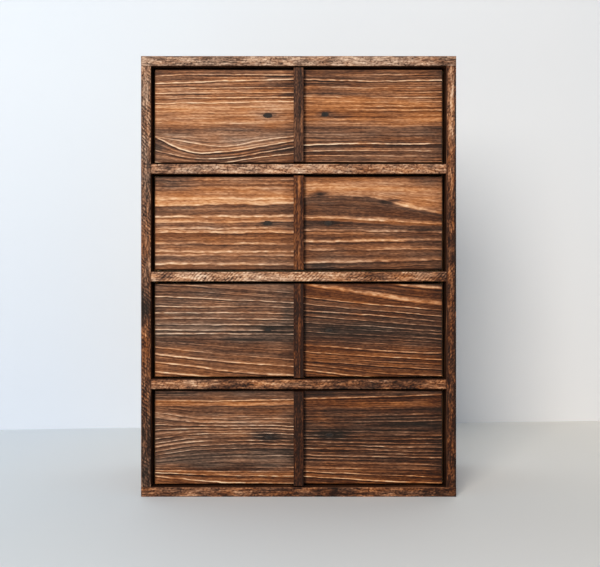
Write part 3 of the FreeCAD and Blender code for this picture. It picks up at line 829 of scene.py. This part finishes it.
FRONT_3 = ((284.5, 377.4), (
    (LEFT, (0.34, 0.24), (
        ((285.0, 286.6, 288.8, 291.2, 294.0), 0.7, 0.22, 0.36, 0.30),
        ((291.6, 292.0, 294.2, 296.6, 298.6), 0.5, 0.14, 0.37, 0.28),
        ((297.3, 298.5, 300.3, 301.7, 303.6), 0.8, 0.44, 0.37, 0.30),
        ((302.4, 303.2, 304.6, 304.9, 306.0), 0.5, 0.16, 0.38, 0.34),
        ((306.6, 307.7, 307.6, 307.6, 308.4), 0.7, 0.36, 0.38, 0.32),
        ((313.4, 313.6, 313.5, 313.7, 314.6), 0.7, 0.38, 0.39, 0.28),
        ((319.6, 318.8, 319.5, 319.7, 320.3), 0.7, 0.36, 0.39, 0.26),
        ((324.9, 325.2, 325.4, 325.6, 326.2), 0.6, 0.30, 0.38, 0.14),
        ((330.3, 330.7, 330.8, 331.0, 331.5), 0.7, 0.30, 0.35, 0.08),
        ((334.6, 334.2, 334.4, 334.5, 335.0), 0.7, 0.36, 0.34, 0.10),
        ((338.2, 338.6, 339.1, 338.9, 339.3), 0.5, 0.18, 0.34, 0.30),
        ((342.4, 344.4, 347.2, 349.0, 350.4), 0.6, 0.14, 0.35, 0.44),
        ((347.8, 351.4, 355.0, 357.8, 360.3), 0.7, 0.28, 0.37, 0.60),
        ((354.6, 358.3, 362.0, 364.6, 367.1), 1.1, 0.34, 0.38, 0.70),
        ((362.3, 366.1, 371.0, 374.0, 376.0), 1.3, 0.34, 0.40, 0.74),
        ((372.2, 375.4, 378.8, 381.0, 383.0), 1.1, 0.32, 0.43, 0.74))),
    (RIGHT, (0.29, 0.58), (
        ((276.0, 279.0, 282.4, 286.0, 289.0), 2.2, 0.30, 0.24, 0.80),
        ((284.2, 289.4, 294.9, 300.2, 304.0), 3.1, 0.30, 0.26, 1.00),
        ((297.8, 301.9, 305.3, 308.0, 311.0), 0.7, 0.36, 0.27, 0.64),
        ((304.8, 308.0, 311.0, 313.6, 317.0), 0.6, 0.32, 0.23, 0.58),
        ((311.5, 313.6, 316.2, 319.1, 322.2), 0.7, 0.38, 0.23, 0.52),
        ((316.2, 319.1, 322.0, 324.7, 327.2), 0.6, 0.36, 0.23, 0.46),
        ((322.9, 325.2, 326.8, 329.5, 332.0), 0.6, 0.30, 0.23, 0.44),
        ((327.9, 329.5, 331.0, 332.4, 334.7), 0.6, 0.24, 0.23, 0.44),
        ((332.2, 334.5, 335.8, 337.9, 339.7), 0.6, 0.34, 0.23, 0.44),
        ((337.0, 338.2, 339.3, 341.0, 343.0), 0.5, 0.20, 0.23, 0.56),
        ((341.2, 342.4, 343.9, 346.0, 348.3), 0.5, 0.22, 0.24, 0.78),
        ((345.5, 347.9, 350.8, 352.7, 353.6), 0.9, 0.34, 0.26, 0.98),
        ((352.2, 354.6, 356.6, 358.5, 360.4), 0.8, 0.30, 0.28, 0.95),
        ((357.6, 359.4, 361.6, 363.2, 364.9), 0.5, 0.16, 0.27, 0.85),
        ((361.2, 363.4, 366.0, 367.9, 369.7), 0.7, 0.32, 0.27, 0.85),
        ((364.6, 368.5, 372.6, 374.7, 376.0), 0.7, 0.32, 0.27, 0.85),
        ((370.6, 374.4, 378.0, 381.0, 384.0), 0.9, 0.36, 0.30, 0.90)))),
    ((276, 330, 22, 4.6, -0.22, -0.50), (243, 340, 22, 3, -0.12, -0.40),
     (288, 314, 7, 8, -0.12, -0.30), (372, 331, 60, 10, -0.11, -0.40)))

FRONT_4 = ((391.3, 483.0), (
    (LEFT, (0.32, 0.28), (
        ((396.5, 396.5, 396.5, 396.0, 395.4), 0.5, 0.10, 0.36, 0.40),
        ((401.2, 401.2, 401.2, 400.4, 399.8), 0.8, 0.20, 0.57, 0.95),
        ((406.0, 406.2, 406.0, 405.8, 404.8), 0.6, 0.12, 0.40, 0.55),
        ((408.5, 412.6, 414.6, 414.8, 414.8), 0.5, 0.16, 0.42, 0.42),
        ((412.6, 417.4, 418.8, 418.8, 419.0), 0.5, 0.22, 0.42, 0.42),
        ((417.2, 421.4, 422.4, 422.2, 423.0), 0.6, 0.28, 0.42, 0.40),
        ((424.6, 425.3, 425.6, 425.4, 426.4), 0.6, 0.36, 0.41, 0.42),
        ((430.0, 428.5, 428.6, 428.4, 429.4), 0.6, 0.30, 0.40, 0.40),
        ((434.4, 431.5, 431.1, 431.0, 431.8), 0.5, 0.20, 0.40, 0.36),
        ((438.8, 434.5, 433.3, 433.0, 434.4), 0.6, 0.38, 0.39, 0.36),
        ((443.0, 438.2, 436.6, 436.4, 437.4), 0.6, 0.40, 0.38, 0.37),
        ((446.8, 441.6, 440.2, 440.2, 440.6), 0.6, 0.40, 0.38, 0.37),
        ((451.0, 445.8, 444.0, 443.7, 444.3), 0.6, 0.38, 0.37, 0.30),
        ((455.0, 449.6, 447.9, 447.5, 448.0), 0.6, 0.28, 0.36, 0.24),
        ((458.0, 453.8, 451.8, 451.3, 451.3), 0.5, 0.14, 0.36, 0.16),
        ((461.5, 458.0, 455.8, 455.4, 455.4), 0.5, 0.14, 0.36, 0.16),
        ((464.5, 462.5, 460.6, 460.4, 460.4), 0.5, 0.12, 0.35, 0.20),
        ((467.0, 467.0, 467.0, 466.8, 466.8), 0.5, 0.20, 0.40, 0.55),
        ((469.6, 470.4, 470.6, 470.6, 470.9), 0.6, 0.22, 0.40, 0.85),
        ((472.0, 473.2, 474.4, 474.9, 475.4), 0.7, 0.40, 0.37, 0.87),
        ((475.2, 478.6, 481.3, 481.6, 482.2), 0.9, 0.42, 0.40, 0.82))),
    (RIGHT, (0.20, 0.48), (
        ((399.0, 398.2, 397.1, 396.1, 394.9), 0.9, 0.40, 0.26, 1.00),
        ((407.4, 407.5, 407.5, 407.3, 407.2), 0.5, 0.22, 0.22, 0.62),
        ((416.0, 415.9, 415.4, 414.6, 414.0), 0.5, 0.26, 0.25, 0.58),
        ((419.3, 419.2, 418.7, 417.8, 417.0), 0.5, 0.24, 0.25, 0.53),
        ((422.0, 421.9, 421.6, 421.0, 420.2), 0.5, 0.24, 0.20, 0.46),
        ((425.4, 425.2, 424.8, 424.2, 423.6), 0.5, 0.14, 0.19, 0.40),
        ((431.2, 431.6, 431.8, 432.0, 432.3), 0.5, 0.24, 0.21, 0.44),
        ((434.8, 434.9, 435.0, 435.2, 435.4), 0.5, 0.26, 0.21, 0.48),
        ((438.0, 438.5, 438.9, 438.6, 438.5), 0.6, 0.40, 0.21, 0.56),
        ((441.1, 442.0, 442.6, 442.9, 443.0), 0.6, 0.30, 0.22, 0.54),
        ((444.3, 445.2, 446.1, 446.7, 446.9), 0.6, 0.42, 0.22, 0.58),
        ((448.0, 448.8, 449.5, 450.5, 451.3), 0.6, 0.42, 0.22, 0.60),
        ((451.6, 452.3, 452.9, 453.7, 454.4), 0.5, 0.26, 0.22, 0.56),
        ((454.5, 455.4, 456.1, 456.8, 457.2), 0.6, 0.34, 0.22, 0.58),
        ((457.6, 458.2, 458.9, 459.6, 460.1), 0.5, 0.20, 0.22, 0.58),
        ((460.8, 461.6, 462.7, 463.4, 464.8), 0.5, 0.24, 0.23, 0.60),
        ((467.0, 467.6, 468.0, 468.4, 469.2), 0.6, 0.30, 0.26, 0.80),
        ((470.6, 472.3, 473.7, 474.8, 476.1), 0.8, 0.42, 0.26, 1.00),
        ((475.6, 477.5, 479.5, 481.1, 482.3), 0.9, 0.46, 0.20, 1.00)))),
    ((194, 458, 27, 7, -0.10, -0.35), (405, 420, 36, 9, -0.09, -0.35),
     (318, 418, 12, 4.5, 0.08, 0.30),
     (331, 434.6, 14, 3.6, -0.24, -0.60), (266, 436.3, 14, 5.2, -0.32, -0.60)))
FRONTS = (FRONT_1, FRONT_2, FRONT_3, FRONT_4)
# How far the lines of each front reach above and below their seams, in half-widths, how far
# they wander, and the strength of the fine rings. Then the columns where the halves meet and
# where a dark band runs beside the strip's right flank: painted shade of the strip, with some
# stain gathered in the corner.
SEAM_LOOKS = (
    (0.58, 0.52, 0.18, 0.17), (2.30, 0.80, 0.60, 0.09), (0.72, 0.62, 0.18, 0.12),
    (0.66, 0.58, 0.16, 0.19))
HALVES_MEET = 300.5
STRIP_SHADE = 304.6


def through_points(places, heights, x):
    """A smooth line through points: between two of them the cubic whose slopes at its ends are
    the mean slopes there."""
    places, heights = np.array(places, float), np.array(heights, float)
    slopes = np.gradient(heights, places)
    k = np.clip(np.searchsorted(places, x) - 1, 0, len(places) - 2)
    gap = places[k + 1] - places[k]
    t = np.clip((x - places[k]) / gap, -0.4, 1.4)
    return (
        heights[k] * (2 * t ** 3 - 3 * t ** 2 + 1) + heights[k + 1] * (3 * t ** 2 - 2 * t ** 3)
        + gap * (slopes[k] * (t ** 3 - 2 * t ** 2 + t) + slopes[k + 1] * (t ** 3 - t ** 2))
    )


def grain_field(column, line, front, above, below, waver, rings, seed):
    """Tone and warmth of a drawer front. Each seam adds a bell-shaped line with a painted shadow
    line under it, as the raised late wood would cast, and steps the tone to that of the wood
    below it.
    The mean gaps of the seams passed, with the share of the way to the next, add up to a ring
    number that is constant along the grain, and the fine rings are scatter read at that number."""
    over_top, least_gap = 1.5, 0.25
    (top_line, _), halves, marks = front
    sway = 0.22 * mottle(column / 17, line / 7, seed)
    sway = sway + 0.16 * scatter(column / 4.5, line / 2, seed + 4)
    line = line + sway
    tone, warmth = np.zeros_like(line), np.zeros_like(line)
    for side, (columns, (last_tone, last_warmth), seams) in enumerate(halves):
        here = column > HALVES_MEET if side else column <= HALVES_MEET
        part, heat = np.full_like(line, last_tone), np.full_like(line, last_warmth)
        ring, late_lines_and_shadow = np.zeros_like(line), np.zeros_like(line)
        before, last_mean = np.full_like(line, top_line - over_top), top_line
        for number, (heights, half, strength, next_tone, next_warmth) in enumerate(seams):
            row = 0 * line + 3.7 * number
            height = through_points(columns, heights, column)
            height = height + waver * scatter(column / 9, row, seed + 31 + side)
            height = height + 0.3 * waver * scatter(column / 3, row, seed + 33)
            height = np.maximum(height, before + least_gap)
            mean_gap = np.mean(heights) - last_mean
            ring += mean_gap * np.clip((line - before) / (height - before), 0, 1)
            part += (next_tone - last_tone) * smooth_step((line - height + 0.4) / 1.1)
            heat += (next_warmth - last_warmth) * smooth_step((line - height + 1.2) / 2.4)
            uneven = 1 + 0.30 * scatter(column / 22, 0 * line + 5.1 * number, seed + 51 + side)
            uneven = uneven + 0.45 * scatter(column / 4.5, line / 1.6, seed + 71 + number)
            pinched = np.clip((height - before) / 1.6, 0.25, 1)
            far = (line - height) / (half * np.where(line < height, above, below))
            late_lines_and_shadow += 1.3 * strength * uneven * pinched * np.exp(-far ** 2)
            # The dark line under each seam's line is painted shadow, as the raised late wood
            # would cast.
            painted_shadow_line = (line - height - 0.5 - 0.8 * half) / 0.6
            late_lines_and_shadow -= 0.60 * np.abs(strength) * uneven * pinched * np.exp(-painted_shadow_line ** 2)
            before, last_mean = height, np.mean(heights)
            last_tone, last_warmth = next_tone, next_warmth
        ring += np.clip(line - before, 0, None)
        broad = scatter(column / 110, ring / 1.9, seed + 65 + side)
        fine = scatter(column / 80, ring / 0.8, seed + 61 + side)
        finer = scatter(column / 20, ring / 0.6, seed + 63 + side)
        part = part + 0.05 * broad + rings * (fine + 0.7 * finer) + late_lines_and_shadow
        far_end = np.abs(column - columns[-1]) / 11
        part = part - 0.09 * np.exp(-far_end ** 2)
        # Painted shade down the right flank of the strip, with some stain gathered in the
        # corner.
        part = part - 0.20 * np.exp(-((column - STRIP_SHADE) / 1.2) ** 2)
        tone, warmth = np.where(here, part, tone), np.where(here, heat, warmth)
    lighter, warmer = patches(column, line, marks)
    dash = scatter(column / 2.2, line / 0.7, seed + 81)
    tone = tone + lighter + 0.10 * dash - 0.015
    warmth = warmth + warmer + 0.20 * mottle(column / 30, line / 5, seed + 91)
    return tone, np.clip(warmth, 0, 1)


# Filled screws: the front is screwed to its box from outside, and each head is hidden by a
# smear of filler. Columns and lines of the eight fillings, left then right. Then the
# half-width and half-height of the smear and of its dark core, and the width of the rim, which
# is worn and also carries painted shade of the case round the recessed front.
FILLINGS = (
    ((267.8, 116.6), (325.0, 115.5)), ((267.6, 224.3), (328.2, 224.4)),
    ((268.0, 330.3), (328.8, 330.9)), ((268.8, 437.0), (329.4, 434.9)))
SMEAR, SMEAR_CORE = (7.5, 2.9), (4.2, 2.3)
WORN_SHADED_RIM = 0.0018


def front_surface(drawer):
    """How deep each point of one drawer front lies, and its finish. The face carries the field
    of grain, darker round both screws and along its rim, where it is worn deeper and is darkened
    by wear and by painted shade of the case round the recessed front. It is brushed deeper where
    it is darker. The other sides are dark, and the back is bare."""
    front = FRONTS[drawer - 1]
    low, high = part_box(f"drawer_{drawer}_front")
    top_line, bottom_line = front[0]

    def surface(x, y, z, face, edge):
        column = to_column(x)
        line = bottom_line + (low.z - z) / (high.z - low.z) * (bottom_line - top_line)
        tone, warmth = grain_field(column, line, front, *SEAM_LOOKS[drawer - 1],
                                   200 + 40 * drawer)
        close = (face == 3) * 1.0
        for at_column, at_line in FILLINGS[drawer - 1]:
            far, core = (
                ((column - at_column) / wide) ** 2 + ((line - at_line) / tall) ** 2
                for wide, tall in (SMEAR, SMEAR_CORE))
            tone = tone - 0.20 * np.exp(-far) - 0.12 * np.exp(-core ** 2)
            warmth = warmth - 0.4 * np.exp(-far)
        rim = np.minimum(np.minimum(z - low.z, high.z - z), edge)
        # Near the rim the face is worn deeper, and darker: partly wear, partly painted shade of
        # the case round the recessed front.
        edge_nearness = smooth_step(1 - rim / WORN_SHADED_RIM)
        tone = np.where(close > 0, tone - 0.14 * edge_nearness, 0.08)
        depth = 0.00003 + 0.00021 * np.clip(0.85 - tone, 0, 1) + 0.00010 * edge_nearness
        bare = (face == 1) * 1.0
        return depth * close, finish_layers(tone, warmth, bare, close)

    return surface


# Radius of the arrises, and gaps between the points up the face and along the board.
FRONT_ARRIS, FRONT_FINE, FRONT_STEP = 0.0012, 0.00036, 0.0019
for drawer in range(1, 5):
    solid = f"drawer_{drawer}_front"
    piece = plane_board(f"{solid}_brushed", solid, "x", FRONT_ARRIS,
                        (COARSE, COARSE, COARSE, FRONT_FINE), FRONT_STEP, front_surface(drawer))
    piece.data.materials.append(stained_material(
        f"stained front {drawer}", "x", solid, (0.7 * drawer, 0.06, 0.02), ring_share=0.3))
    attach(piece, f"drawer_{drawer}")
    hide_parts(solid)


# ---------------------------------------------------------------- dividing strips
# A 13 by 9.5 mm square-edged strip glued upright down the middle of each front, its grain
# upwards. Each took the stain in its own way; their tones run from grey-brown on the top drawer
# to nearly black on the bottom one, partly that stain and partly painted shade of the light
# falling off downwards.

# Each strip: tone, warmth, then streaks: metres to the right of its middle, lighter by.
STRIP_LOOKS = (
    (0.235, 0.50, ((-0.0035, 0.10), (0.0015, -0.08), (0.0045, 0.08))),
    (0.225, 0.95, ((-0.0040, 0.08), (0.0000, 0.10), (0.0040, -0.10))),
    (0.075, 0.90, ((-0.0030, 0.04), (0.0010, 0.16), (0.0042, -0.08))),
    (0.045, 0.80, ((-0.0035, 0.06), (0.0010, -0.04), (0.0040, 0.05))))


def strip_surface(drawer):
    """How deep each point of one strip lies, and its finish: streaks down its whole length, each
    a bell curve on a swaying line, two sizes of dashes, and darker edges and flanks."""
    base, warm, streaks = STRIP_LOOKS[drawer - 1]
    low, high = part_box(f"drawer_{drawer}_strip")

    def surface(x, y, z, face, edge):
        seed = 700 + 20 * drawer
        sway = x + 0.0006 * mottle(z / 0.03, 0 * x + 1.5, seed)
        tone = np.full_like(x, base)
        for place, strength in streaks:
            tone += strength * np.exp(-((sway - place) / 0.0011) ** 2)
        tone += 0.13 * scatter(z / 0.014, sway / 0.0010, seed + 1)
        tone += 0.17 * scatter(z / 0.0024, (sway + y) / 0.0009, seed + 2)
        tone += 0.07 * mottle(z / 0.020, (x + y) / 0.005, seed + 5)
        close = (face != 2) * 1.0
        rim = np.minimum(np.minimum(x - low.x, high.x - x), y - low.y + 0.0006)
        tone = tone - 0.08 * smooth_step(1 - rim / 0.0010) * (face == 0)
        tone = np.where(face == 0, tone, tone * 0.8)
        depth = 0.00003 + 0.00014 * np.clip(0.6 - tone, 0, 1)
        warmth = warm + 0.15 * scatter(z / 0.03, sway / 0.002, seed + 3)
        return depth * close, finish_layers(tone, warmth, 0 * tone, close)

    return surface


# Radius of the arrises, and gaps between the points across the face, over the flanks and
# along the strip.
STRIP_ARRIS, STRIP_FINE, STRIP_SIDE, STRIP_STEP = 0.0007, 0.00036, 0.0008, 0.0011
for drawer in range(1, 5):
    solid = f"drawer_{drawer}_strip"
    piece = plane_board(f"{solid}_planed", solid, "z", STRIP_ARRIS,
                        (STRIP_FINE, STRIP_SIDE, COARSE, STRIP_SIDE), STRIP_STEP,
                        strip_surface(drawer))
    piece.data.materials.append(stained_material(
        f"stained strip {drawer}", "z", solid, (0.4 * drawer, 0.05, 0.04), ring_share=0.3))
    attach(piece, f"drawer_{drawer}")
    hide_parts(solid)


# ---------------------------------------------------------------- screw filler
# Dark wood filler pressed over each screw head and wiped along the grain, so it ends as a
# ragged oval level with the brushed wood round it.

def filler_material():
    """Grey-brown wood filler, dull and finely pitted, browner towards its wiped rim."""
    material, tree, shader = new_material("wood filler")
    place = node(tree, "TexCoord", {}, "Object")
    cloud = squeezed_noise(tree, place, (240.0, 900.0, 900.0), 3.0)
    grit = node(tree, "TexNoise", {"Vector": place, "Scale": 3600.0, "Detail": 1.0})
    paste = ramp(tree, cloud, (0.3, 25, 21, 19), (0.5, 37, 31, 27), (0.7, 55, 45, 37))
    stained = ramp(tree, cloud, (0.3, 40, 30, 24), (0.7, 60, 44, 34))
    plug(tree, shader, {
        "Base Color": mix_colour(tree, read_layer(tree, "rim"), paste, stained),
        "Roughness": spread_value(tree, grit, 0.3, 0.7, 0.6, 0.85), "Specular IOR Level": 0.2})
    bump(tree, grit, 0.00004, shader)
    return material


# Half-length and half-height of the eight fillings, in millimetres. Then their ten rings: the
# share of that size, and how many millimetres each lies behind the face.
FILLING_SIZES = (
    ((6.0, 3.3), (5.2, 3.2)), ((6.2, 3.0), (5.0, 3.2)),
    ((5.0, 2.5), (5.2, 2.6)), ((5.6, 2.7), (5.6, 2.8)))
RING_SHARES = (0.15, 0.35, 0.55, 0.72, 0.86, 0.95, 1.0, 0.97, 0.6, 0.4)
RING_DEPTHS = (0.10, 0.09, 0.08, 0.07, 0.05, 0.06, 0.16, 0.45, 1.4, 1.95)


def press_filling(drawer, side):
    """A ragged oval dish: rings of an ellipse whose radius wanders with the angle, growing over
    the face to the rim, then shrinking down the countersink to a point."""
    low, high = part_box(f"drawer_{drawer}_front")
    top_line, bottom_line = FRONTS[drawer - 1][0]
    column, line = FILLINGS[drawer - 1][side]
    x = (column - MIDDLE_COLUMN) * RULE
    z = low.z + (bottom_line - line) / (bottom_line - top_line) * (high.z - low.z)
    half_long, half_tall = FILLING_SIZES[drawer - 1][side]
    turn = np.linspace(0, 2 * math.pi, 72, endpoint=False)
    seed = 900 + 10 * drawer + side
    ragged = 1 + 0.10 * scatter(6 + 2.2 * np.sin(turn), 9 + 2.2 * np.cos(turn), seed)
    ragged = ragged + 0.05 * scatter(20 + 6 * np.sin(turn), 30 + 6 * np.cos(turn), seed + 1)
    share, back = np.array(RING_SHARES)[:, None], np.array(RING_DEPTHS)[:, None]
    rings = np.stack([
        x + 0.001 * half_long * share * ragged * np.sin(turn),
        low.y + 0.001 * back + 0 * turn,
        z + 0.001 * half_tall * share * ragged * np.cos(turn)], -1)
    caps = np.array([(x, low.y + 0.0001, z), (x, low.y + 0.00195, z)])
    rim = smooth_step((share - 0.62) / 0.38) + 0 * turn
    return sheathe(f"drawer_{drawer}_filling_{side + 1}", rings, caps, {"rim": rim})


FILLER = filler_material()
for drawer in range(1, 5):
    for side in (0, 1):
        piece = press_filling(drawer, side)
        piece.data.materials.append(FILLER)
        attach(piece, f"drawer_{drawer}")
        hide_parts(f"drawer_{drawer}_filler")


# ---------------------------------------------------------------- floor and wall
# A pale table top and a white wall behind it, turned a few degrees, both matt. Seen from
# behind, each lets the camera through.

def backdrop_material(name, first, second, near, far):
    """Matt paint with the room's uneven light painted into it: cooler on the left and warmer on
    the right, going from the first pair of colours to the second between two distances, back and
    up added, so that the wall is darker lower down and the table nearer the front, with the
    faintest unevenness; its back face is clear to the camera alone."""
    material, tree, shader = new_material(name)
    place = node(tree, "TexCoord", {}, "Object")
    uneven = node(tree, "TexNoise", {"Vector": place, "Scale": 1.6, "Detail": 2.0})
    right, back, up = split(tree, place)
    aside = spread_value(tree, calc(tree, "MULTIPLY_ADD", uneven, 0.10, right), -0.40, 0.55)
    away = spread_value(tree, calc(tree, "ADD", back, up), near, far)
    pairs = [mix_colour(tree, aside, paint(*cool), paint(*warm))
             for cool, warm in (first, second)]
    plug(tree, shader, {
        "Base Color": mix_colour(tree, away, *pairs),
        "Roughness": spread_value(tree, uneven, 0.3, 0.7, 0.78, 0.86)})
    hidden = calc(tree, "MULTIPLY", node(tree, "NewGeometry", {}, "Backfacing"),
                  node(tree, "LightPath", {}, "Is Camera Ray"))
    choice = node(tree, "MixShader", {
        0: hidden, 1: shader.outputs[0], 2: node(tree, "BsdfTransparent", {})})
    out = next(made for made in tree.nodes if made.type == "OUTPUT_MATERIAL")
    tree.links.new(choice, out.inputs[0])
    return material


def backdrop(name, corner, right, up, material):
    """A flat rectangle from a corner and two sides, facing the cross product of the sides."""
    corner, right, up = (np.array(side, float) for side in (corner, right, up))
    points = np.stack([corner, corner + right, corner + right + up, corner + up])
    piece = knit(name, points, np.array([[0, 1, 2, 3]]), np.zeros((0, 3), int), {})
    piece.data.materials.append(material)
    return piece


WALL_TURN = math.radians(4.7)
ACROSS = np.array([math.cos(WALL_TURN), math.sin(WALL_TURN), 0])
WALL_MIDDLE = np.array([0.0, 0.411, 0.0])
backdrop("wall", WALL_MIDDLE - 3.0 * ACROSS, 6.0 * ACROSS, (0, 0, 3.4),
         backdrop_material("wall paint with painted light", ((222, 229, 239), (238, 236, 235)),
                           ((235, 240, 246), (244, 243, 243)), 0.45, 1.05))
backdrop("table", (-3.0, -2.2, 0), (6.0, 0, 0), (0, 3.2, 0),
         backdrop_material("table top", ((229, 234, 236), (239, 232, 222)),
                           ((231, 236, 239), (246, 240, 230)), -0.30, 0.30))


# ---------------------------------------------------------------- light and camera
# One tall soft lamp, like a window, on the left in front, and a pale room all round. The
# camera stands square in front, at half the cabinet's height.

key_data = bpy.data.lights.new("window", "AREA")
key_data.shape = "RECTANGLE"
key_data.size, key_data.size_y = 1.3, 2.2
key_data.energy = 94.0
key_data.color = (1.0, 0.944, 0.865)
key = bpy.data.objects.new("window", key_data)
bpy.context.scene.collection.objects.link(key)
key.location = (-0.90, -3.00, 1.45)
key.visible_camera = False
cabinet_middle = np.array([0.0, 0.0, 0.27])
aim = cabinet_middle - np.array(key.location)
key.rotation_euler = (math.atan2(math.hypot(aim[0], aim[1]), -aim[2]), 0,
                      math.atan2(aim[1], aim[0]) - QUARTER_TURN)

room = bpy.data.worlds.new("room")
room.use_nodes = True
bpy.context.scene.world = room
room_tree = room.node_tree
rays = room_tree.nodes.new("ShaderNodeLightPath").outputs
seen = calc(room_tree, "MAXIMUM", rays["Is Camera Ray"], rays["Is Glossy Ray"])
seen = calc(room_tree, "MAXIMUM", seen, rays["Is Transmission Ray"])
plug(room_tree, room_tree.nodes["Background"], {
    "Color": mix_colour(room_tree, seen, paint(204, 229, 255), paint(234, 239, 246)),
    "Strength": spread_value(room_tree, seen, 0.0, 1.0, 0.38, 0.88)})

camera_data = bpy.data.cameras.new("camera")
camera_data.sensor_width = 36.0
camera_data.lens = 46.56
camera = bpy.data.objects.new("camera", camera_data)
bpy.context.scene.collection.objects.link(camera)
camera.location = (0.0018, -1.0937, 0.275)
camera.rotation_euler = (QUARTER_TURN, 0, 0)
bpy.context.scene.camera = camera
bpy.context.scene.view_settings.view_transform = "Standard"
